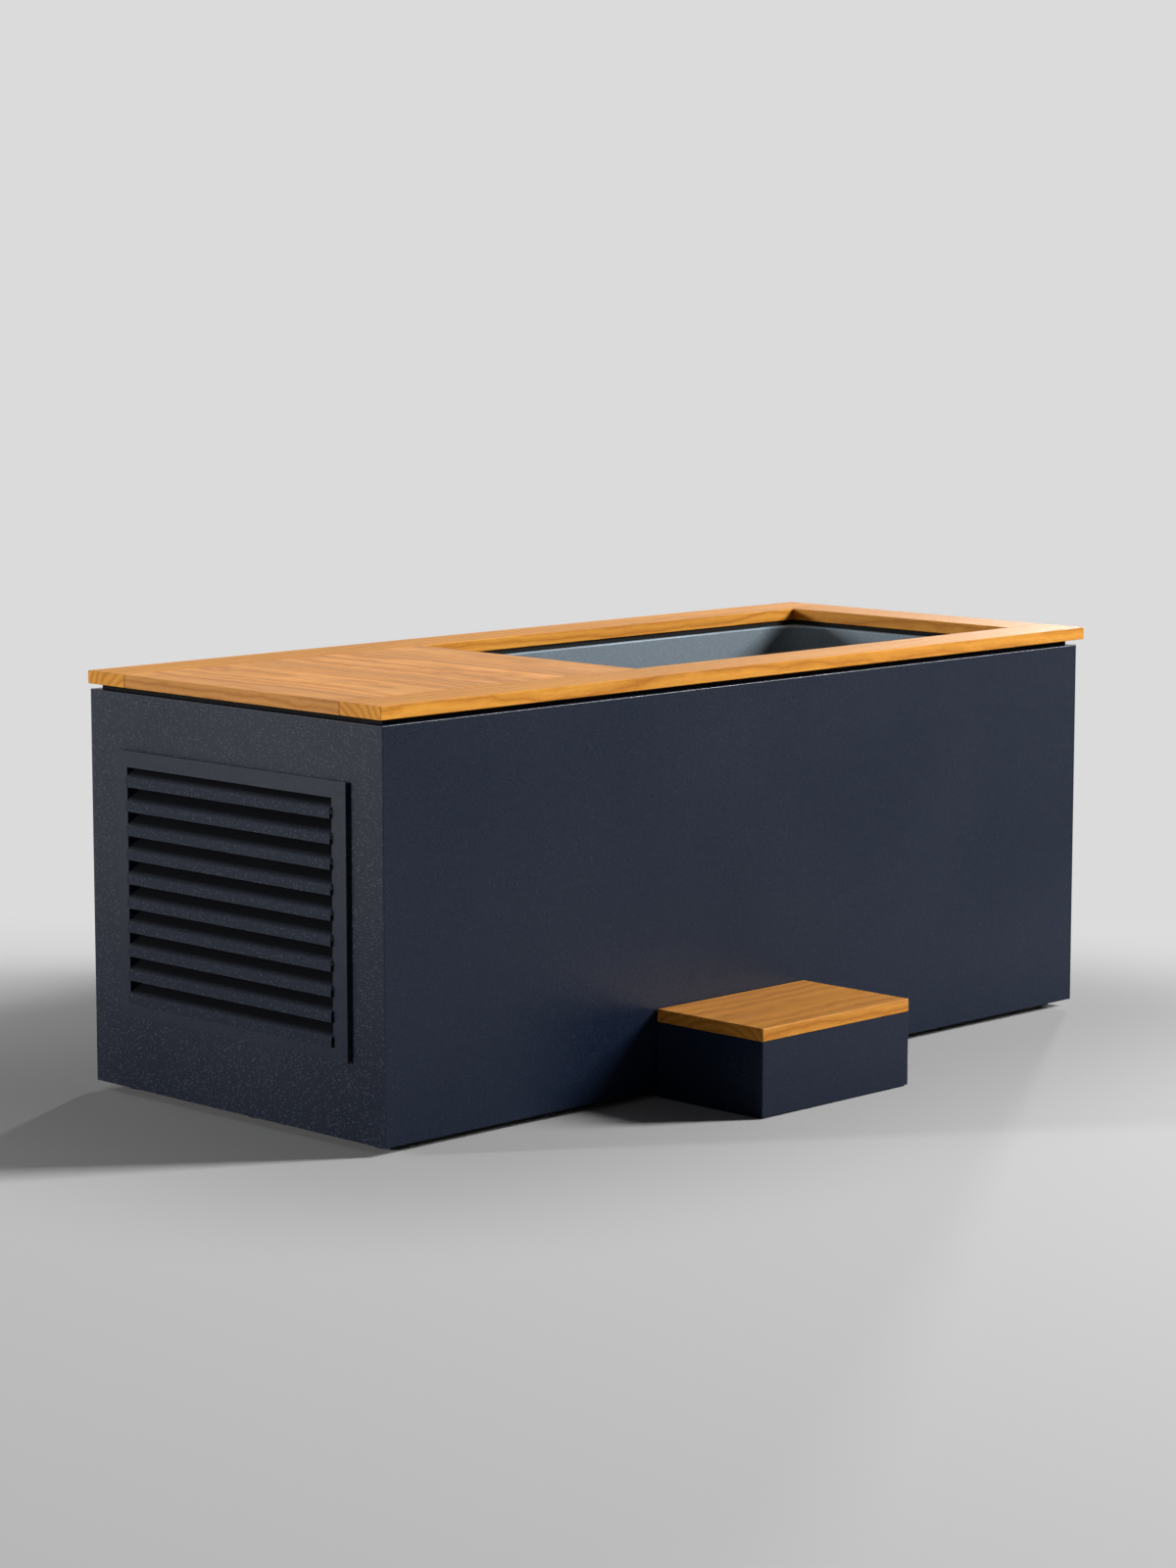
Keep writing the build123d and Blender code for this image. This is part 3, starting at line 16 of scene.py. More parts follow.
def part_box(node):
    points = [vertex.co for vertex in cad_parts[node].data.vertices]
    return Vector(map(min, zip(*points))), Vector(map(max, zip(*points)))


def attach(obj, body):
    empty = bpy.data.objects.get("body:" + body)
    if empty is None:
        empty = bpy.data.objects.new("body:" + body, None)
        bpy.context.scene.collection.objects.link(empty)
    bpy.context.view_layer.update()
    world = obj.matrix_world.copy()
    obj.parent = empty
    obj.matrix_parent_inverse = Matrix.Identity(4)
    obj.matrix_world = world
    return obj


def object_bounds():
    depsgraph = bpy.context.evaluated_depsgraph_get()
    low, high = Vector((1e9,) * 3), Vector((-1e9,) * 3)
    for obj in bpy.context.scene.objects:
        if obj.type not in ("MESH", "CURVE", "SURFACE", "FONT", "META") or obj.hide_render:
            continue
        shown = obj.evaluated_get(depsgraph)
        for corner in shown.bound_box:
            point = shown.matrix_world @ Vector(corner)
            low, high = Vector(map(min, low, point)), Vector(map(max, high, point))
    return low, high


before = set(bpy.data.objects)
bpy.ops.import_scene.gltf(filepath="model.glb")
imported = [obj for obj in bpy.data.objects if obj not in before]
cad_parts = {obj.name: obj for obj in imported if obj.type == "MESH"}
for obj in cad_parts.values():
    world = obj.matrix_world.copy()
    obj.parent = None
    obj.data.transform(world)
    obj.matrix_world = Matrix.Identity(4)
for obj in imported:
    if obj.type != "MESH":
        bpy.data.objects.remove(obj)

node_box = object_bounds()
corners = [[round(v, 3) for v in corner] for corner in node_box]
print("solids:", len(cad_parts), "box:", corners)

# %% [markdown]
# ## Writing a material in code
# A material is a small tree of nodes. Each node takes values or links on its named sockets. One
# helper adds a node and fills its sockets, which keeps each material down to a few lines. A link
# is passed as another node's output socket, and a plain value is set as it is.


# %% A helper that adds a node
def add(tree, kind, sockets=None, **settings):
    """Adds a node of that kind, sets its options and fills its input sockets."""
    node = tree.nodes.new("ShaderNode" + kind)
    for key, value in settings.items():
        setattr(node, key, value)
    for name, value in (sockets or {}).items():
        socket = node.inputs[name]
        if isinstance(value, bpy.types.NodeSocket):
            tree.links.new(value, socket)
        else:
            socket.default_value = value
    return node


def maths(tree, operation, first, second=0.5, third=0.5):
    """A Math node's result. Each term is a number or a link."""
    node = add(tree, "Math", {0: first, 1: second, 2: third}, operation=operation)
    return node.outputs[0]


def ramp(tree, amount, *stops):
    """A colour ramp: each stop is a place and a colour, or a place and a grey level."""
    node = add(tree, "ValToRGB", {"Fac": amount})
    points = node.color_ramp.elements
    while len(points) < len(stops):
        points.new(0.5)
    for point, (place, colour) in zip(points, stops):
        point.position = place
        point.color = (*colour, 1) if isinstance(colour, tuple) else (colour, colour, colour, 1)
    return node.outputs["Color"]


def blend_colours(tree, amount, first, second, how="MIX"):
    """Mixes two colours. Each is a link or three numbers."""
    node = add(tree, "Mix", data_type="RGBA", blend_type=how)
    sockets = (node.inputs["Factor"], node.inputs[6], node.inputs[7])
    for socket, value in zip(sockets, (amount, first, second)):
        if isinstance(value, bpy.types.NodeSocket):
            tree.links.new(value, socket)
        elif isinstance(value, tuple):
            socket.default_value = (*value, 1)
        else:
            socket.default_value = value
    return node.outputs[2]


def new_material(name):
    """An empty material with an output and a Principled shader."""
    material = bpy.data.materials.new(name)
    material.use_nodes = True
    tree = material.node_tree
    tree.nodes.clear()
    shader = add(tree, "BsdfPrincipled")
    add(tree, "OutputMaterial", {"Surface": shader.outputs["BSDF"]})
    return material, tree, shader


def scaled(colour, amount, lift=0.0):
    """The colour made lighter or darker, kept at one or below."""
    return tuple(min(1.0, amount * part + lift) for part in colour)


def piece_place(tree):
    """The place on the piece, in metres, from its Object coordinates."""
    return add(tree, "TexCoord").outputs["Object"]


def bump(tree, shader, height, distance, strength):
    """Feeds a height into the shader's Normal."""
    node = add(tree, "Bump", {"Height": height, "Distance": distance, "Strength": strength})
    tree.links.new(node.outputs["Normal"], shader.inputs["Normal"])


def finish_nodes(material, *names):
    """Gives the named CAD nodes this material all over."""
    for name in names:
        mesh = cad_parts[name].data
        mesh.materials.clear()
        mesh.materials.append(material)
    print(material.name, "on", ", ".join(names))


# %% [markdown]
# ## Effects that several finishes share
# Powder coat, brushed steel and moulded plastic all have grain at some scale. Each such effect is a
# node group with named inputs and outputs, made once here and placed in each material with its own
# values. A group gives out masks and heights only, and the shader stays in the material.


# %% A helper that starts a node group
def new_group(name, inputs, outputs):
    """An empty node group. An input that starts at None is a vector, the rest are floats."""
    group = bpy.data.node_groups.new(name, "ShaderNodeTree")
    for label, start in inputs.items():
        kind = "NodeSocketVector" if start is None else "NodeSocketFloat"
        socket = group.interface.new_socket(name=label, in_out="INPUT", socket_type=kind)
        if start is not None:
            socket.default_value = start
    for label in outputs:
        group.interface.new_socket(name=label, in_out="OUTPUT", socket_type="NodeSocketFloat")
    entry = group.nodes.new("NodeGroupInput").outputs
    leave = group.nodes.new("NodeGroupOutput").inputs
    return group, entry, leave


def place_group(tree, group, sockets):
    """Puts a node group into a material and fills its inputs."""
    node = tree.nodes.new("ShaderNodeGroup")
    node.node_tree = group
    for name, value in sockets.items():
        if isinstance(value, bpy.types.NodeSocket):
            tree.links.new(value, node.inputs[name])
        else:
            node.inputs[name].default_value = value
    return node.outputs

# %% [markdown]
# ### Speckle
# A sprayed or cast skin is made of small raised grains, and a few of them catch the light or stay
# dark. An image of grains would need unwrapped faces. Noise and cells that are measured in metres
# on the piece need none, and they keep one size on every piece.

# %% Speckle: the fine texture of a powder coat
RARE = 0.86


def make_speckle():
    """Small raised grains, with a few bright and dark ones, over a broad unevenness."""
    group, entry, leave = new_group(
        "speckle", {"Place": None, "Grain": 0.0022}, ("Grains", "Sparks", "Pits", "Clouds")
    )
    size = maths(group, "DIVIDE", 1.0, entry["Grain"])
    fine = {"Vector": entry["Place"], "Scale": size, "Detail": 2.0, "Roughness": 0.6}
    grains = add(group, "TexNoise", fine)
    cells = add(group, "TexVoronoi", {"Vector": entry["Place"], "Scale": size}, feature="F1")
    spark = add(group, "SeparateColor", {"Color": cells.outputs["Color"]})
    inward = maths(group, "SUBTRACT", 0.55, cells.outputs["Distance"])
    dots = maths(group, "MAXIMUM", maths(group, "SMOOTH_MIN", inward, 0.3, 0.1), 0.0)
    bright = maths(group, "GREATER_THAN", spark.outputs["Red"], RARE)
    dark = maths(group, "GREATER_THAN", spark.outputs["Green"], RARE)
    clouds = add(group, "TexNoise", {"Vector": entry["Place"], "Scale": 7.0, "Detail": 3.0})
    group.links.new(grains.outputs["Fac"], leave["Grains"])
    group.links.new(maths(group, "MULTIPLY", dots, bright), leave["Sparks"])
    group.links.new(maths(group, "MULTIPLY", dots, dark), leave["Pits"])
    group.links.new(clouds.outputs["Fac"], leave["Clouds"])
    return group


speckle = make_speckle()
print("group", speckle.name)

# %% [markdown]
# ### Brushing
# Drawn and brushed metal has fine scratches along one direction. The same noise as for the grains
# gives them, once its place is stretched along X.


# %% Brushing: long scratches along one direction
def make_brushing():
    """Fine lines along X, and a slow change in how strong they are."""
    group, entry, leave = new_group(
        "brushing", {"Place": None, "Stretch": 60.0}, ("Lines", "Patches")
    )
    along = maths(group, "DIVIDE", 1.0, entry["Stretch"])
    stretch = add(group, "CombineXYZ", {"X": along, "Y": 1.0, "Z": 1.0}).outputs[0]
    placed = add(group, "VectorMath", {0: entry["Place"], 1: stretch}, operation="MULTIPLY")
    scratches = {"Vector": placed.outputs[0], "Scale": 900.0, "Detail": 4.0, "Roughness": 0.7}
    lines = add(group, "TexNoise", scratches)
    patches = add(group, "TexNoise", {"Vector": entry["Place"], "Scale": 9.0, "Detail": 3.0})
    group.links.new(lines.outputs["Fac"], leave["Lines"])
    group.links.new(patches.outputs["Fac"], leave["Patches"])
    return group


brushing = make_brushing()
print("group", brushing.name)

# %% [markdown]
# ### Smudge
# Hands and cloths leave some patches smoother than others. Slow noise gives the patches, and quick
# noise inside them gives dust, so that no finish looks the same all over.


# %% Smudge: uneven wear and handling
def make_smudge():
    """A broad, soft mask for wiped and handled patches, and a finer one for dust."""
    group, entry, leave = new_group("smudge", {"Place": None, "Scale": 6.0}, ("Wiped", "Dust"))
    wide = {"Vector": entry["Place"], "Scale": entry["Scale"], "Detail": 5.0}
    broad = add(group, "TexNoise", wide)
    fine_scale = maths(group, "MULTIPLY", entry["Scale"], 40.0)
    fine = add(group, "TexNoise", {"Vector": entry["Place"], "Scale": fine_scale, "Detail": 2.0})
    limits = {"Value": broad.outputs["Fac"], "From Min": 0.38, "From Max": 0.66}
    wiped = add(group, "MapRange", limits)
    dust = maths(group, "MULTIPLY", wiped.outputs[0], fine.outputs["Fac"])
    group.links.new(wiped.outputs[0], leave["Wiped"])
    group.links.new(dust, leave["Dust"])
    return group


smudge = make_smudge()
print("group", smudge.name)

# %% [markdown]
# ## Timber
# The deck boards are sawn from logs, so their pattern is a slice through growth rings. The group
# measures how far a point is from the log's heart and turns that into rings, which wander as a
# real log does. A board's top then shows long flames, its edge shows flowing lines, and its end
# shows arcs, all from one pattern. Painting each face by itself would never make them meet.


# %% Growth rings
def make_growth():
    """Rings round a heart line along X, fine fibres, short pores and broad colour."""
    group, entry, leave = new_group(
        "growth",
        {"Place": None, "Ring": 0.009, "Wander": 0.03},
        ("Rings", "Fibres", "Pores", "Broad"),
    )
    place = entry["Place"]

    def stretched(along, across, scale, detail, roughness=0.5):
        """Noise whose features are longer along X than across it."""
        size = add(group, "CombineXYZ", {"X": along, "Y": across, "Z": across}).outputs[0]
        vector = add(group, "VectorMath", {0: place, 1: size}, operation="MULTIPLY").outputs[0]
        inputs = {"Vector": vector, "Scale": scale, "Detail": detail, "Roughness": roughness}
        return add(group, "TexNoise", inputs).outputs["Fac"]

    split = add(group, "SeparateXYZ", {0: place})
    slice_place = {"X": 0.0, "Y": split.outputs["Y"], "Z": split.outputs["Z"]}
    across = add(group, "CombineXYZ", slice_place).outputs[0]
    radius = add(group, "VectorMath", {0: across}, operation="LENGTH").outputs["Value"]
    slow = maths(group, "SUBTRACT", stretched(1.4, 5.0, 1.0, 2.0), 0.5)
    quick = maths(group, "SUBTRACT", stretched(12.0, 26.0, 1.0, 3.0, 0.55), 0.5)
    both = maths(group, "MULTIPLY_ADD", quick, 0.34, slow)
    wander = maths(group, "MULTIPLY", both, entry["Wander"])
    turned = maths(group, "DIVIDE", maths(group, "ADD", radius, wander), entry["Ring"])
    rings = maths(group, "FRACT", turned)
    group.links.new(rings, leave["Rings"])
    group.links.new(stretched(6.0, 420.0, 1.0, 3.0, 0.6), leave["Fibres"])
    group.links.new(stretched(55.0, 900.0, 1.0, 1.0), leave["Pores"])
    group.links.new(stretched(1.2, 9.0, 1.0, 2.0), leave["Broad"])
    return group


growth = make_growth()
print("group", growth.name)


# %% Oiled timber, one material for each board
ALONG_X = 0.0
ALONG_Y = -pi / 2
BROAD_RING = 0.016
HATCH_EDGE = 0.2325
STAVE = 0.0948


def oiled_timber(name, turn, heart, ring=0.009, stave=0.0, joints=0.0, tint=(0.96, 0.88, 0.42)):
    """Golden oiled hardwood. turn lays the grain along X, heart is the log's heart line.

    stave is the width of edge-glued strips across the grain, with the first joint at joints."""
    material, tree, shader = new_material(name)
    mapping = add(tree, "Mapping", {"Vector": piece_place(tree), "Rotation": (0, 0, turn)})
    turned = mapping.outputs[0]
    place = add(tree, "VectorMath", {0: turned, 1: heart}, operation="SUBTRACT").outputs[0]
    if stave:
        split = add(tree, "SeparateXYZ", {0: turned})
        count = maths(tree, "DIVIDE", maths(tree, "SUBTRACT", split.outputs["Y"], joints), stave)
        number = maths(tree, "FLOOR", count)
        chance = add(tree, "TexWhiteNoise", {"W": number}, noise_dimensions="1D")
        strip_tone = chance.outputs["Value"]
        within = maths(tree, "MULTIPLY", maths(tree, "FRACT", count), stave)
        off_heart = maths(tree, "SUBTRACT", within, 0.16)
        height_over_heart = maths(tree, "SUBTRACT", split.outputs["Z"], heart[2])
        place = add(tree, "CombineXYZ", {
            "X": maths(tree, "MULTIPLY_ADD", number, 3.7, split.outputs["X"]),
            "Y": maths(tree, "MULTIPLY_ADD", strip_tone, 0.16, off_heart),
            "Z": maths(tree, "MULTIPLY_ADD", strip_tone, 0.05, height_over_heart),
        }).outputs[0]
        edge = maths(tree, "PINGPONG", count, 0.5)
        seam = add(tree, "MapRange", {"Value": edge, "From Min": 0.0, "From Max": 0.006}).outputs[0]
    grain = place_group(tree, growth, {"Place": place, "Ring": ring, "Wander": 0.055})
    wood = ramp(
        tree,
        grain["Rings"],
        (0.0, (0.57, 0.230, 0.036)),
        (0.09, (0.66, 0.285, 0.056)),
        (0.50, (0.80, 0.380, 0.096)),
        (0.84, (0.66, 0.280, 0.052)),
        (1.0, (0.53, 0.205, 0.030)),
    )
    broad = ramp(tree, grain["Broad"], (0.3, (0.80, 0.76, 0.72)), (0.7, (1.12, 1.12, 1.10)))
    wood = blend_colours(tree, 0.75, wood, broad, "MULTIPLY")
    fibres = ramp(tree, grain["Fibres"], (0.3, 0.86), (0.7, 1.06))
    wood = blend_colours(tree, 0.8, wood, fibres, "MULTIPLY")
    pores = ramp(tree, grain["Pores"], (0.60, 1.0), (0.72, 0.72))
    wood = blend_colours(tree, 0.55, wood, pores, "MULTIPLY")
    wood = blend_colours(tree, 1.0, wood, tint, "MULTIPLY")
    if stave:
        tone = ramp(tree, strip_tone, (0.0, (0.90, 0.88, 0.86)), (1.0, (1.05, 1.06, 1.07)))
        wood = blend_colours(tree, 0.8, wood, tone, "MULTIPLY")
        wood = blend_colours(tree, seam, (0.25, 0.10, 0.02), wood)
    tree.links.new(wood, shader.inputs["Base Color"])
    rough = maths(tree, "MULTIPLY_ADD", grain["Fibres"], 0.18, 0.42)
    tree.links.new(rough, shader.inputs["Roughness"])
    shader.inputs["Specular IOR Level"].default_value = 0.16
    height = maths(tree, "MULTIPLY_ADD", grain["Pores"], -0.4, grain["Fibres"])
    bump(tree, shader, height, 0.00035, 0.6)
    return material


front_timber = oiled_timber("front_rail_timber", ALONG_X, (0.0, -0.24, 0.69), BROAD_RING)
finish_nodes(front_timber, "front_rail")
back_timber = oiled_timber("back_rail_timber", ALONG_X, (3.1, 0.24, 0.69), BROAD_RING)
finish_nodes(back_timber, "back_rail")
end_timber = oiled_timber("end_board_timber", ALONG_Y, (0.4, -0.78, 0.76), 0.013)
finish_nodes(end_timber, "tub_end_board")
hatch_timber = oiled_timber(
    "hatch_timber", ALONG_Y, (1.7, 0.0, 0.70), 0.015, STAVE, HATCH_EDGE, (1.03, 0.98, 0.95)
)
finish_nodes(hatch_timber, "service_hatch")
finish_nodes(oiled_timber("batten_timber", ALONG_Y, (0.9, -0.6, 0.80)), "hatch_battens")
tread_timber = oiled_timber(
    "tread_timber", ALONG_X, (5.3, -0.56, 0.02), 0.017, tint=(0.80, 0.72, 0.42)
)
finish_nodes(tread_timber, "step_tread")


# %% [markdown]
# ## Powder-coated steel
# The panels and the step are sheet steel baked with a dark blue powder. Close up the coat is a
# field of tiny grains. Some catch the light and some don't. The colour itself is nearly black, and
# most of what the eye sees is the soft reflection of the room, so the roughness matters most.


# %% Powder coat
BLADE_SHADE_DEPTHS = (-1.0003, -0.9905)


def powder_coat(name, colour, rough, grain=0.0030, sparkle=0.7, specular=0.5, shaded_recess=None):
    """A textured powder coat with sparkling grains.

    shaded_recess gives two depths along X. Between them the base colour darkens as painted shade,
    and the coat turns rougher."""
    material, tree, shader = new_material(name)
    place = piece_place(tree)
    coat = place_group(tree, speckle, {"Place": place, "Grain": grain})
    marks = place_group(tree, smudge, {"Place": place, "Scale": 3.0})
    clouds = maths(tree, "MULTIPLY", coat["Clouds"], 0.5)
    tint = blend_colours(tree, clouds, colour, scaled(colour, 1.25))
    sparks = maths(tree, "MULTIPLY", coat["Sparks"], 1.5 * sparkle)
    tint = blend_colours(tree, sparks, tint, scaled(colour, 2.2, lift=0.055 * sparkle))
    pits = maths(tree, "MULTIPLY", coat["Pits"], 2.0)
    tint = blend_colours(tree, pits, tint, scaled(colour, 0.25))
    grainy = maths(tree, "MULTIPLY_ADD", coat["Grains"], 0.34, rough - 0.17)
    smooth = maths(tree, "MULTIPLY_ADD", marks["Wiped"], 0.05, grainy)
    if shaded_recess:
        depth = add(tree, "SeparateXYZ", {0: place}).outputs["X"]
        limits = {"Value": depth, "From Min": shaded_recess[0], "From Max": shaded_recess[1]}
        deep = add(tree, "MapRange", limits).outputs[0]
        # Painted shade: behind the frame's face, the blades' base colour falls to a tenth.
        tint = blend_colours(tree, deep, tint, scaled(colour, 0.10))
        smooth = maths(tree, "MULTIPLY_ADD", deep, 0.5, smooth)
    tree.links.new(tint, shader.inputs["Base Color"])
    tree.links.new(smooth, shader.inputs["Roughness"])
    shader.inputs["Specular IOR Level"].default_value = specular
    height = maths(tree, "ADD", coat["Grains"], maths(tree, "MULTIPLY", coat["Sparks"], 0.8))
    bump(tree, shader, height, 0.0006, 0.5)
    return material


navy = powder_coat("navy_powder", (0.0034, 0.0085, 0.0235), 0.31, specular=0.29)
finish_nodes(navy, "front_panel", "back_panel", "tub_end_panel", "step_box")
louvre_navy = powder_coat("louvre_powder", (0.0048, 0.0088, 0.0220), 0.34, 0.0036, 1.25, 0.28)
finish_nodes(louvre_navy, "louvre_frame")
# lit_blade_navy is a lighter copy of the frame's navy. It paints light on the blade noses, and
# painted shade darkens the blades behind the frame's face.
lit_blade_navy = powder_coat(
    "blade_powder", (0.0135, 0.0180, 0.0310), 0.38, 0.0036, 1.2, 0.10, BLADE_SHADE_DEPTHS
)
finish_nodes(lit_blade_navy, "louvre_blades")
end_navy = powder_coat("end_powder", (0.0048, 0.0088, 0.0220), 0.33, 0.0036, 1.25, 0.26)
finish_nodes(end_navy, "louvre_end_panel")
frame_black = powder_coat("frame_powder", (0.030, 0.032, 0.036), 0.55, 0.003, 0.5)
finish_nodes(frame_black, "plinth_frame", "base_frame", "uprights", "top_frame")


# %% [markdown]
# ## The tub
# The tub is steel with a fine bead-blasted surface. It looks like grey-blue granite in the picture:
# bright along its rim, darker where two walls face each other. A metallic shader does that by
# itself, because a metal's colour is what it reflects.


# %% Blasted steel
def blasted_steel(name, colour, rough, metallic):
    """Steel with fine grains that scatter its reflection."""
    material, tree, shader = new_material(name)
    place = piece_place(tree)
    coat = place_group(tree, speckle, {"Place": place, "Grain": 0.0040})
    marks = place_group(tree, smudge, {"Place": place, "Scale": 5.0})
    tint = blend_colours(tree, coat["Grains"], scaled(colour, 0.72), scaled(colour, 1.25))
    sparks = maths(tree, "MULTIPLY", coat["Sparks"], 1.5)
    tint = blend_colours(tree, sparks, tint, scaled(colour, 1.7))
    tint = blend_colours(tree, coat["Pits"], tint, scaled(colour, 0.55))
    tree.links.new(tint, shader.inputs["Base Color"])
    shader.inputs["Metallic"].default_value = metallic
    uneven = maths(tree, "MULTIPLY_ADD", coat["Grains"], 0.20, rough - 0.10)
    worn = maths(tree, "MULTIPLY_ADD", marks["Wiped"], 0.06, uneven)
    tree.links.new(worn, shader.inputs["Roughness"])
    bump(tree, shader, coat["Grains"], 0.0005, 0.4)
    return material


tub_steel = blasted_steel("blasted_tub_steel", (0.150, 0.187, 0.216), 0.60, 0.6)
finish_nodes(tub_steel, "tub_shell")

# %% [markdown]
# ## Metals, plastics and rubber inside
# The gear bay shows when the hatch or the grille comes off. Its pieces have plain workshop
# finishes: galvanised sheet, cast aluminium, black enamel, copper, brass, moulded plastic, rubber,
# foam and pleated paper. Each is one short function, used by every piece of that stuff.


# %% Bare metals
LINE_SHADE = 0.3
UPRIGHT = (0, pi / 2, 0)


def bare_metal(name, colour, rough, turn=(0, 0, 0)):
    """Brushed or drawn metal. turn lays the brushing along the piece."""
    material, tree, shader = new_material(name)
    place = add(tree, "Mapping", {"Vector": piece_place(tree), "Rotation": turn}).outputs[0]
    brush = place_group(tree, brushing, {"Place": place, "Stretch": 60.0})
    shade = maths(tree, "MULTIPLY_ADD", brush["Lines"], LINE_SHADE, 1.0 - LINE_SHADE / 2)
    grey = add(tree, "CombineColor", {"Red": shade, "Green": shade, "Blue": shade}).outputs[0]
    tint = blend_colours(tree, 1.0, colour, grey, "MULTIPLY")
    patches = maths(tree, "MULTIPLY", brush["Patches"], 0.35)
    tint = blend_colours(tree, patches, tint, scaled(colour, 0.7))
    tree.links.new(tint, shader.inputs["Base Color"])
    shader.inputs["Metallic"].default_value = 1.0
    uneven = maths(tree, "MULTIPLY_ADD", brush["Lines"], 0.25, rough - 0.12)
    tree.links.new(uneven, shader.inputs["Roughness"])
    bump(tree, shader, brush["Lines"], 0.0001, 0.4)
    return material


def spangled_zinc(name):
    """Galvanised sheet: large crystals, each a little lighter or darker."""
    material, tree, shader = new_material(name)
    place = piece_place(tree)
    cells = add(tree, "TexVoronoi", {"Vector": place, "Scale": 70.0}, feature="F1")
    grey = add(tree, "SeparateColor", {"Color": cells.outputs["Color"]}).outputs["Red"]
    tint = ramp(tree, grey, (0.0, (0.34, 0.35, 0.36)), (1.0, (0.54, 0.55, 0.56)))
    tree.links.new(tint, shader.inputs["Base Color"])
    shader.inputs["Metallic"].default_value = 0.9
    tree.links.new(maths(tree, "MULTIPLY_ADD", grey, 0.2, 0.36), shader.inputs["Roughness"])
    return material


zinc = spangled_zinc("spangled_zinc")
finish_nodes(zinc, "floor_pan", "bulkhead", "equipment_tray", "fan_shroud")
screw_metal = bare_metal("zinc_screws", (0.52, 0.52, 0.50), 0.38)
finish_nodes(screw_metal, "panel_screws", "deck_screws")
finish_nodes(bare_metal("nickel", (0.62, 0.60, 0.56), 0.22), "louvre_magnets")
finish_nodes(bare_metal("rotor_steel", (0.44, 0.45, 0.46), 0.35), "pump_rotor")
coil_metal = bare_metal("coil_aluminium", (0.60, 0.61, 0.62), 0.40, UPRIGHT)
finish_nodes(coil_metal, "condenser_coil")
copper = bare_metal("copper_line", (0.66, 0.28, 0.14), 0.28)
finish_nodes(copper, "refrigerant_lines")
brass = bare_metal("valve_brass", (0.62, 0.43, 0.17), 0.30)
finish_nodes(brass, "drain_valve_body", "drain_outlet")
chamber_steel = bare_metal("lamp_chamber_steel", (0.55, 0.56, 0.57), 0.25, UPRIGHT)
finish_nodes(chamber_steel, "uv_steriliser")

# %% [markdown]
# ### Paint
# Sprayed enamel flows out nearly flat and leaves a faint orange peel. The speckle group gives that
# peel, and the smudge group dulls the parts that are handled. A bump image could do the same, but
# not at one size on a large motor and a small button.


# %% Painted and cast pieces
def enamel(name, colour, rough, peel=0.0035):
    """Smooth paint with a slight orange peel."""
    material, tree, shader = new_material(name)
    place = piece_place(tree)
    coat = place_group(tree, speckle, {"Place": place, "Grain": peel})
    marks = place_group(tree, smudge, {"Place": place, "Scale": 8.0})
    tint = blend_colours(tree, marks["Dust"], colour, scaled(colour, 1.5, lift=0.02))
    tree.links.new(tint, shader.inputs["Base Color"])
    handled = maths(tree, "MULTIPLY_ADD", marks["Wiped"], 0.12, rough)
    tree.links.new(handled, shader.inputs["Roughness"])
    bump(tree, shader, coat["Grains"], 0.0002, 0.3)
    return material


finish_nodes(enamel("black_enamel", (0.014, 0.014, 0.016), 0.24), "compressor", "fan_motor")
finish_nodes(enamel("cast_case", (0.20, 0.21, 0.23), 0.46, 0.0018), "pump_motor")
finish_nodes(enamel("lever_red", (0.42, 0.030, 0.020), 0.32), "drain_lever")
finish_nodes(enamel("button_green", (0.03, 0.28, 0.08), 0.28), "power_button")

# %% [markdown]
# ### Plastic
# A moulded piece takes its stipple from the mould. The same two groups make it, at a finer grain,
# and its scuffs are a little duller than the rest.


# %% Moulded plastic
def moulded(name, colour, rough):
    """Moulded plastic with a faint stipple and scuffs."""
    material, tree, shader = new_material(name)
    place = piece_place(tree)
    coat = place_group(tree, speckle, {"Place": place, "Grain": 0.0012})
    marks = place_group(tree, smudge, {"Place": place, "Scale": 12.0})
    tint = blend_colours(tree, marks["Wiped"], colour, scaled(colour, 0.86, lift=0.006))
    grains = maths(tree, "MULTIPLY", coat["Grains"], 0.3)
    tint = blend_colours(tree, grains, tint, scaled(colour, 1.1))
    tree.links.new(tint, shader.inputs["Base Color"])
    handled = maths(tree, "MULTIPLY_ADD", marks["Wiped"], 0.14, rough)
    tree.links.new(handled, shader.inputs["Roughness"])
    bump(tree, shader, coat["Grains"], 0.00015, 0.35)
    return material


black_plastic = moulded("black_plastic", (0.020, 0.021, 0.023), 0.42)
finish_nodes(black_plastic, "pump_body", "filter_lid", "heat_exchanger")
finish_nodes(black_plastic, "drain_cap", "fan_rotor", "mains_gland")
white_pipe = moulded("white_pipe", (0.70, 0.71, 0.70), 0.26)
finish_nodes(white_pipe, "suction_pipe", "filter_pipes", "return_pipe", "drain_pipe")
grey_fitting = moulded("grey_fitting", (0.30, 0.31, 0.32), 0.34)
finish_nodes(grey_fitting, "suction_fitting", "return_jet", "drain_fitting", "fitting_nuts")
finish_nodes(moulded("blue_canister", (0.08, 0.15, 0.28), 0.20), "filter_housing")
finish_nodes(moulded("box_grey", (0.44, 0.45, 0.45), 0.38), "control_box", "control_box_lid")

# %% [markdown]
# ### Rubber, board, foam and paper
# These are dull and full of pores or crumbs. One function serves them all, because only the
# colour and the size and depth of the crumbs differ.


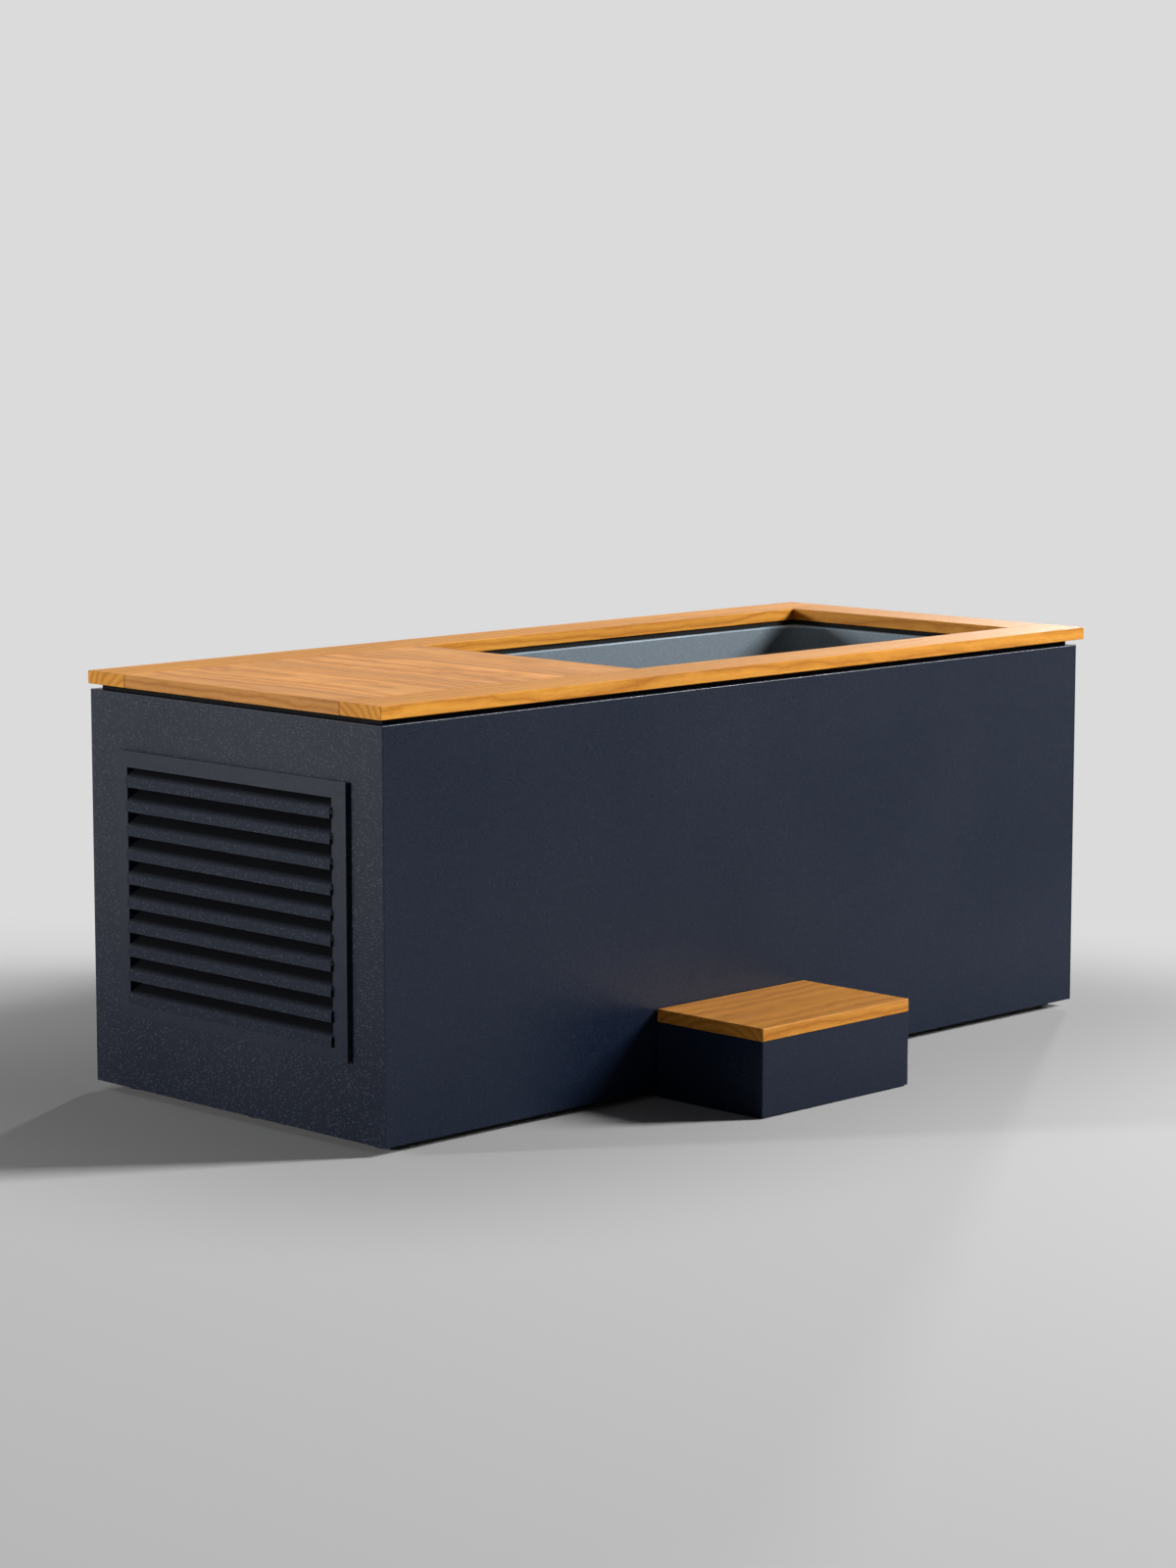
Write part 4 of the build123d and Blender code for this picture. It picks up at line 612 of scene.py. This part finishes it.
# %% Rubber, board, foam and paper
def soft_matte(name, colour, grain, depth, rough=0.85):
    """A dull material with pores or crumbs of one size."""
    material, tree, shader = new_material(name)
    place = piece_place(tree)
    coat = place_group(tree, speckle, {"Place": place, "Grain": grain})
    tint = blend_colours(tree, coat["Grains"], scaled(colour, 0.8), scaled(colour, 1.2))
    tint = blend_colours(tree, coat["Pits"], tint, scaled(colour, 0.6))
    tree.links.new(tint, shader.inputs["Base Color"])
    uneven = maths(tree, "MULTIPLY_ADD", coat["Clouds"], 0.1, rough - 0.05)
    tree.links.new(uneven, shader.inputs["Roughness"])
    shader.inputs["Specular IOR Level"].default_value = 0.25
    bump(tree, shader, coat["Grains"], depth, 0.6)
    return material


rubber = soft_matte("rubber", (0.018, 0.018, 0.018), 0.002, 0.0003)
finish_nodes(rubber, "rubber_pads", "compressor_feet", "step_pads")
gasket_foam = soft_matte("gasket_foam", (0.008, 0.008, 0.008), 0.0015, 0.0004, 0.95)
finish_nodes(gasket_foam, "louvre_gasket")
finish_nodes(soft_matte("black_board", (0.004, 0.004, 0.004), 0.003, 0.0002, 0.9), "deck_spacer")
finish_nodes(soft_matte("insulating_foam", (0.60, 0.56, 0.42), 0.005, 0.0015), "tub_insulation")
finish_nodes(soft_matte("pleated_paper", (0.72, 0.73, 0.69), 0.0015, 0.0002), "filter_cartridge")

# %% [markdown]
# ## Pieces that a workshop adds last
# Four small pieces finish the solids. The hose cap gets grips for wet fingers, the coil gets its
# return bends, the fan its wire guard, and the suction fitting the bars that keep hair and fingers
# out. Each could be typed in as a list of points. Here each starts as a simple shape that edit
# mode's own tools spin, bevel and taper, as one would by hand, because its size then shows.


# %% Helpers for small modelled pieces
WIRE_SIDES = 10
RING_STEPS = 48


def start_fresh():
    """Object mode, with nothing selected."""
    if bpy.context.mode != "OBJECT":
        bpy.ops.object.mode_set(mode="OBJECT")
    bpy.ops.object.select_all(action="DESELECT")


def spun_ring(centre, axis, radius, wire, steps, angle=2 * pi, start=Vector((0, 0, 1))):
    """A round wire bent about an axis, closed when the angle is a full turn."""
    start_fresh()
    turn = axis.cross(start).to_track_quat("Z", "Y").to_euler()
    place = centre + start * radius
    ends = "NGON" if angle < 2 * pi else "NOTHING"
    bpy.ops.mesh.primitive_circle_add(
        vertices=WIRE_SIDES, radius=wire, fill_type=ends, location=place, rotation=turn
    )
    ring = bpy.context.active_object
    bpy.ops.object.transform_apply(location=True, rotation=True, scale=True)
    bpy.ops.object.mode_set(mode="EDIT")
    bpy.ops.mesh.select_all(action="SELECT")
    bpy.ops.mesh.spin(steps=steps, angle=angle, center=centre, axis=axis)
    bpy.ops.mesh.select_all(action="SELECT")
    bpy.ops.mesh.normals_make_consistent(inside=False)
    bpy.ops.object.mode_set(mode="OBJECT")
    return ring


def rounded_bar(centre, size, edge):
    """A bar of that size with bevelled edges, at its place."""
    start_fresh()
    bpy.ops.mesh.primitive_cube_add(size=1.0, location=centre, scale=size)
    bar = bpy.context.active_object
    bpy.ops.object.transform_apply(location=True, rotation=True, scale=True)
    bpy.ops.object.mode_set(mode="EDIT")
    bpy.ops.mesh.select_all(action="SELECT")
    bpy.ops.mesh.bevel(offset=edge, segments=2, affect="EDGES")
    bpy.ops.object.mode_set(mode="OBJECT")
    return bar


def turned_copy(piece, matrix):
    """A copy with its own mesh, moved by the matrix."""
    other = piece.copy()
    other.data = piece.data.copy()
    other.data.transform(matrix)
    bpy.context.scene.collection.objects.link(other)
    return other


def joined(name, parts, material, body):
    """One piece made of those parts, with its finish, riding on its body."""
    start_fresh()
    for part in parts:
        part.select_set(True)
    bpy.context.view_layer.objects.active = parts[0]
    bpy.ops.object.join()
    piece = bpy.context.active_object
    bpy.ops.object.transform_apply(location=True, rotation=True, scale=True)
    bpy.ops.object.shade_smooth_by_angle(angle=radians(40))
    piece.name = name
    piece.data.materials.clear()
    piece.data.materials.append(material)
    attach(piece, body)
    print(name, "with", len(piece.data.polygons), "faces")


def turn_about(centre, axis, angle):
    """The matrix of a turn about a line through that place."""
    there, back = Matrix.Translation(centre), Matrix.Translation(-centre)
    return there @ Matrix.Rotation(angle, 4, axis) @ back


def in_circle(piece, centre, axis, count):
    """The piece and turned copies of it, evenly spaced about the centre."""
    turns = [turn_about(centre, axis, 2 * pi * step / count) for step in range(1, count)]
    return [piece] + [turned_copy(piece, turn) for turn in turns]


def box_middle(box):
    """The low and high corners of a box, and the middle between them."""
    low, high = (Vector(corner) for corner in box)
    return low, high, (low + high) / 2


# %% [markdown]
# ### Grips
# The hose cap is turned by wet fingers, so ribs stand round its rim. They could be cut out of the
# cap. Here one bar is bevelled and tapered in edit mode, and turned copies of it go round, so that
# the ribs stay equal and their number is easy to change.

# %% Grips round the hose cap
RIB_COUNT = 20
RIB_WIDTH = 0.0026
RIB_HEIGHT = 0.0030


def make_cap_grips():
    """Tapered ribs round the cap. One is modelled and the rest are turned copies."""
    low, high, middle = box_middle(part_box("drain_cap"))
    radius = (high.z - low.z) / 2
    length = (high.y - low.y) * 0.62
    top = middle + Vector((0, 0, radius))
    rib = rounded_bar(top, (RIB_WIDTH, length, RIB_HEIGHT), 0.0006)
    bpy.ops.object.mode_set(mode="EDIT")
    bpy.ops.mesh.select_all(action="DESELECT")
    mesh = bmesh.from_edit_mesh(rib.data)
    for face in mesh.faces:
        face.select = face.calc_center_median().z > top.z + RIB_HEIGHT / 3
    mesh.select_flush(True)
    bmesh.update_edit_mesh(rib.data)
    bpy.ops.transform.resize(value=(0.6, 0.9, 1.0))
    bpy.ops.object.mode_set(mode="OBJECT")
    ribs = in_circle(rib, middle, "Y", RIB_COUNT)
    joined("drain_cap_grips", ribs, black_plastic, "hose_cap")


# %% [markdown]
# ### Return bends
# The coil's copper tubes leave its end plate and turn back into it. Each bend could be a curve
# with a round section. A circle spun through half a turn gives the same half ring, and gives it as
# a mesh at once.

# %% Return bends of the coil
TUBE_PITCH = 0.032
TUBE_RADIUS = 0.0048
BEND_ENTRY = 0.002
BEND_MARGIN = 0.010
BEND_STEPS = 8


def make_return_bends():
    """Half rings of copper that join one row of the coil's tubes to the next."""
    low, high, middle = box_middle(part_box("condenser_coil"))
    box_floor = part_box("control_box")[0][2]
    half = TUBE_PITCH / 2
    first = Vector((middle.x, high.y - BEND_ENTRY, low.z + BEND_MARGIN + half))
    across, down = Vector((1, 0, 0)), Vector((0, 0, -1))
    bend = spun_ring(first, across, half, TUBE_RADIUS, BEND_STEPS, pi, down)
    # The spin leads into the coil, so the bend is turned round to stand out of it.
    bend.data.transform(turn_about(first, "Z", pi))
    top = min(high.z, box_floor) - BEND_MARGIN
    count = int((top - first.z - half) / (2 * TUBE_PITCH)) + 1
    lifts = [Matrix.Translation((0, 0, 2 * TUBE_PITCH * step)) for step in range(1, count)]
    bends = [bend] + [turned_copy(bend, lift) for lift in lifts]
    joined("coil_return_bends", bends, copper, "cabinet")


# %% [markdown]
# ### Fan guard
# Wire rings keep fingers off the blades, and four flat legs join them to the collar. A real guard
# is bent from wire on formers and welded. Here each ring is a circle spun through a full turn
# about the motor's axis, which needs no curve and no sweep.

# %% Wire guard of the fan
COLLAR_RADIUS = 0.181
LEG_DEPTH = 0.0028
LEG_WIDTH = 0.0045
LEG_COUNT = 4
GUARD_WIRE = 0.0016
GUARD_RADII = (0.070, 0.095, 0.120, 0.145, 0.170)


def make_fan_guard():
    """Five wire rings welded to four flat legs, on the collar that the fan turns in."""
    motor = box_middle(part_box("fan_motor"))[2]
    collar_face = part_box("fan_shroud")[1][0]
    centre = Vector((collar_face + LEG_DEPTH / 2, motor.y, motor.z))
    across = Vector((1, 0, 0))
    wires = centre + across * (LEG_DEPTH / 2 + GUARD_WIRE * 0.85)
    rings = [spun_ring(wires, across, reach, GUARD_WIRE, RING_STEPS) for reach in GUARD_RADII]
    inner = GUARD_RADII[0] - GUARD_WIRE
    leg_middle = centre + Vector((0, 0, (COLLAR_RADIUS + inner) / 2))
    leg = rounded_bar(leg_middle, (LEG_DEPTH, LEG_WIDTH, COLLAR_RADIUS - inner), 0.0006)
    legs = in_circle(leg, centre, "X", LEG_COUNT)
    joined("fan_guard", rings + legs, screw_metal, "cabinet")


# %% [markdown]
# ### Suction bars
# A ring and nine bars cross the opening where water leaves the tub. Each bar's length comes from
# the circle at its place, so its ends lie in the ring and nothing is trimmed afterwards.

# %% Bars over the suction fitting
BAR_WIDTH = 0.0026
BAR_RING_WIRE = 0.0020
BARS_EACH_SIDE = 4


def make_suction_bars():
    """Bars across the opening inside the tub, each as long as the circle is wide there."""
    low, high, middle = box_middle(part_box("suction_fitting"))
    centre = Vector((high.x + 0.0012, middle.y, middle.z))
    reach = (high.z - low.z) / 2 * 0.80
    parts = [spun_ring(centre, Vector((1, 0, 0)), reach, BAR_RING_WIRE, RING_STEPS)]
    for step in range(-BARS_EACH_SIDE, BARS_EACH_SIDE + 1):
        offset = reach * step / (BARS_EACH_SIDE + 1)
        half = (reach * reach - offset * offset) ** 0.5
        place = centre + Vector((0, offset, 0))
        parts.append(rounded_bar(place, (BAR_WIDTH, BAR_WIDTH, 2 * half), 0.0007))
    joined("suction_bars", parts, grey_fitting, "cabinet")


make_cap_grips()
make_return_bends()
make_fan_guard()
make_suction_bars()

# %% [markdown]
# ## Floor, lamps and camera
# The picture was taken in a pale studio: a tall softbox on the right, a low lamp behind the tub, a
# low lamp on the left, a weak high softbox behind that one, and a pale room that lights the
# shadows. The floor is a plain grey sheet that melts into the pale backdrop. The camera stands
# about 8 m from the middle of the tub and 1.6 m above the floor, with a long lens.

# %% [markdown]
# ### Floor
# The sheet is one large plane. Its colour carries painted shade. It is darker right beside the
# cabinet, where a real floor loses the room's light. It is darker again far to the right of the
# view, so that less light comes back off it onto the panels. Behind the tub it changes into an even
# backdrop, as a curved paper sweep would in a studio.

# %% Floor
BACKDROP = 0.708
VIEW_AWAY = (0.708, 0.706, 0.0)
VIEW_RIGHT = (0.707, -0.707, 0.0)
PLAN_HALF = (0.99, 0.41, 0.0)
CONTACT_REACH = 0.85
POOL_START = 1.7
POOL_END = 2.6
FADE_START = 0.55
FADE_END = 1.6


def make_floor():
    """A pale floor that melts into the backdrop, with painted shade beside the tub and far to the
    right.
    """
    bpy.ops.object.select_all(action="DESELECT")
    bpy.ops.mesh.primitive_plane_add(size=60.0, location=(0, 0, 0))
    sheet = bpy.context.active_object
    sheet.name = "studio_floor"
    material, tree, shader = new_material("studio_floor")
    place = piece_place(tree)

    def vector(operation, first, second=(0.0, 0.0, 0.0), result="Vector"):
        """A Vector Math node's result, by default its vector."""
        node = add(tree, "VectorMath", {0: first, 1: second}, operation=operation)
        return node.outputs[result]

    size = vector("ABSOLUTE", vector("MULTIPLY", place, (1.0, 1.0, 0.0)))
    outside = vector("MAXIMUM", vector("SUBTRACT", size, PLAN_HALF))
    near = vector("LENGTH", outside, result="Value")
    # Painted shade: the floor's colour darkens within CONTACT_REACH of the cabinet's plan.
    limits = {"Value": near, "From Max": CONTACT_REACH, "To Min": 0.72, "To Max": 1.0}
    contact_shade = add(tree, "MapRange", limits)
    contact_shade.interpolation_type = "SMOOTHSTEP"
    aside = vector("DOT_PRODUCT", place, VIEW_RIGHT, "Value")
    # Painted shade: the floor's colour darkens far to the camera's right.
    right_shade_pool = add(tree, "MapRange", {"Value": aside, "From Min": POOL_START, "From Max": POOL_END})
    lit = ramp(tree, right_shade_pool.outputs[0], (0.0, 0.60), (1.0, 0.26))
    shade = contact_shade.outputs[0]
    grey = add(tree, "CombineColor", {"Red": shade, "Green": shade, "Blue": shade}).outputs[0]
    tree.links.new(blend_colours(tree, 1.0, lit, grey, "MULTIPLY"), shader.inputs["Base Color"])
    shader.inputs["Roughness"].default_value = 0.9
    shader.inputs["Specular IOR Level"].default_value = 0.0
    away = vector("DOT_PRODUCT", place, VIEW_AWAY, "Value")
    fade = add(tree, "MapRange", {"Value": away, "From Min": FADE_START, "From Max": FADE_END})
    fade.interpolation_type = "SMOOTHSTEP"
    pale = (BACKDROP, BACKDROP, BACKDROP, 1)
    backdrop = add(tree, "Emission", {"Color": pale, "Strength": 1.0})
    sight = add(tree, "LightPath")
    seen = maths(tree, "MAXIMUM", sight.outputs["Is Camera Ray"], sight.outputs["Is Glossy Ray"])
    share = maths(tree, "MULTIPLY", fade.outputs[0], seen)
    mix = add(tree, "MixShader", {0: share, 1: shader.outputs[0], 2: backdrop.outputs[0]})
    output = [node for node in tree.nodes if node.type == "OUTPUT_MATERIAL"][0]
    tree.links.new(mix.outputs[0], output.inputs["Surface"])
    sheet.data.materials.append(material)
    print("floor", sheet.name)


make_floor()

# %% [markdown]
# ### Room light
# The room is three backgrounds in one: what the camera sees, what a glossy face mirrors and what
# lights a dull face. Split this way, the shadows can be deep in front of a pale backdrop, as they
# are in the picture.


# %% Room light
def make_room(strength):
    """A pale room: bright where it is seen, dim where it lights, darker on the camera's right."""
    world = bpy.data.worlds.new("pale_room")
    bpy.context.scene.world = world
    world.use_nodes = True
    tree = world.node_tree
    tree.nodes.clear()
    sight = add(tree, "LightPath")
    straight = (sight.outputs["Is Camera Ray"], sight.outputs["Is Transmission Ray"])
    seen = maths(tree, "MAXIMUM", *straight)
    direction = add(tree, "TexCoord").outputs["Generated"]
    side = add(tree, "VectorMath", {0: direction, 1: (0.55, -0.83, 0.0)}, operation="DOT_PRODUCT")
    limits = {"Value": side.outputs["Value"], "From Min": -0.1, "From Max": 0.5}
    dark = add(tree, "MapRange", limits)
    mirrored = ramp(tree, dark.outputs[0], (0.0, BACKDROP), (1.0, 0.16))
    lit = add(tree, "Background", {"Color": (0.96, 0.98, 1.0, 1), "Strength": strength})
    reflected = add(tree, "Background", {"Color": mirrored, "Strength": 1.0})
    wall = add(tree, "Background", {"Color": (BACKDROP, BACKDROP, BACKDROP, 1), "Strength": 1.0})
    glossy = sight.outputs["Is Glossy Ray"]
    mix = add(tree, "MixShader", {0: glossy, 1: lit.outputs[0], 2: reflected.outputs[0]})
    mix = add(tree, "MixShader", {0: seen, 1: mix.outputs[0], 2: wall.outputs[0]})
    add(tree, "OutputWorld", {"Surface": mix.outputs[0]})


make_room(0.03)

# %% [markdown]
# ### Softboxes
# Each lamp is a rectangle that faces the tub. Its bearing and height come from where the picture's
# shadows and highlights fall, and its size from how soft their edges are. Sun lamps would give
# the same directions but hard, parallel shadows.


# %% Softboxes
def softbox(name, toward, height_angle, distance, size, power):
    """A rectangular lamp that faces the tub. toward is its bearing in plan from the tub."""
    flat = Vector((toward[0], toward[1], 0)).normalized()
    direction = flat * cos(height_angle) + Vector((0, 0, sin(height_angle)))
    lamp = bpy.data.lights.new(name, "AREA")
    lamp.shape = "RECTANGLE"
    lamp.size, lamp.size_y = size
    lamp.energy = power
    holder = bpy.data.objects.new(name, lamp)
    bpy.context.scene.collection.objects.link(holder)
    holder.location = Vector((0, 0, 0.4)) + direction * distance
    holder.rotation_euler = direction.to_track_quat("Z", "Y").to_euler()
    holder.visible_camera = False
    print(name, "at", [round(v, 2) for v in holder.location])


softbox("key_softbox", (0.797, -0.604), radians(28), 14.0, (2.4, 4.6), 3100)
softbox("rear_right_lamp", (0.868, 0.497), radians(12), 18.0, (0.9, 1.6), 1500)
softbox("rear_left_lamp", (-0.862, 0.507), radians(11), 12.0, (0.8, 1.4), 780)
softbox("rear_softbox", (-0.36, 0.93), radians(46), 7.0, (5.0, 3.0), 50)

# %% [markdown]
# ### Camera
# The camera's place and lens come from fitting the tub's measured corners to the picture, so that
# the two can be laid over each other.


# %% Camera
def make_camera():
    """The photograph's place and lens, found by fitting measured corners."""
    view = bpy.data.cameras.new("camera")
    view.sensor_fit = "VERTICAL"
    view.sensor_height = 36.0
    view.lens = 90.35
    view.clip_end = 100.0
    holder = bpy.data.objects.new("camera", view)
    bpy.context.scene.collection.objects.link(holder)
    holder.location = (-5.59415, -5.51460, 1.62637)
    holder.rotation_euler = (pi / 2 - 0.1381, 0.0, -0.7873)
    bpy.context.scene.camera = holder
    print("camera at", tuple(holder.location))


make_camera()
bpy.context.scene.view_settings.view_transform = "Standard"
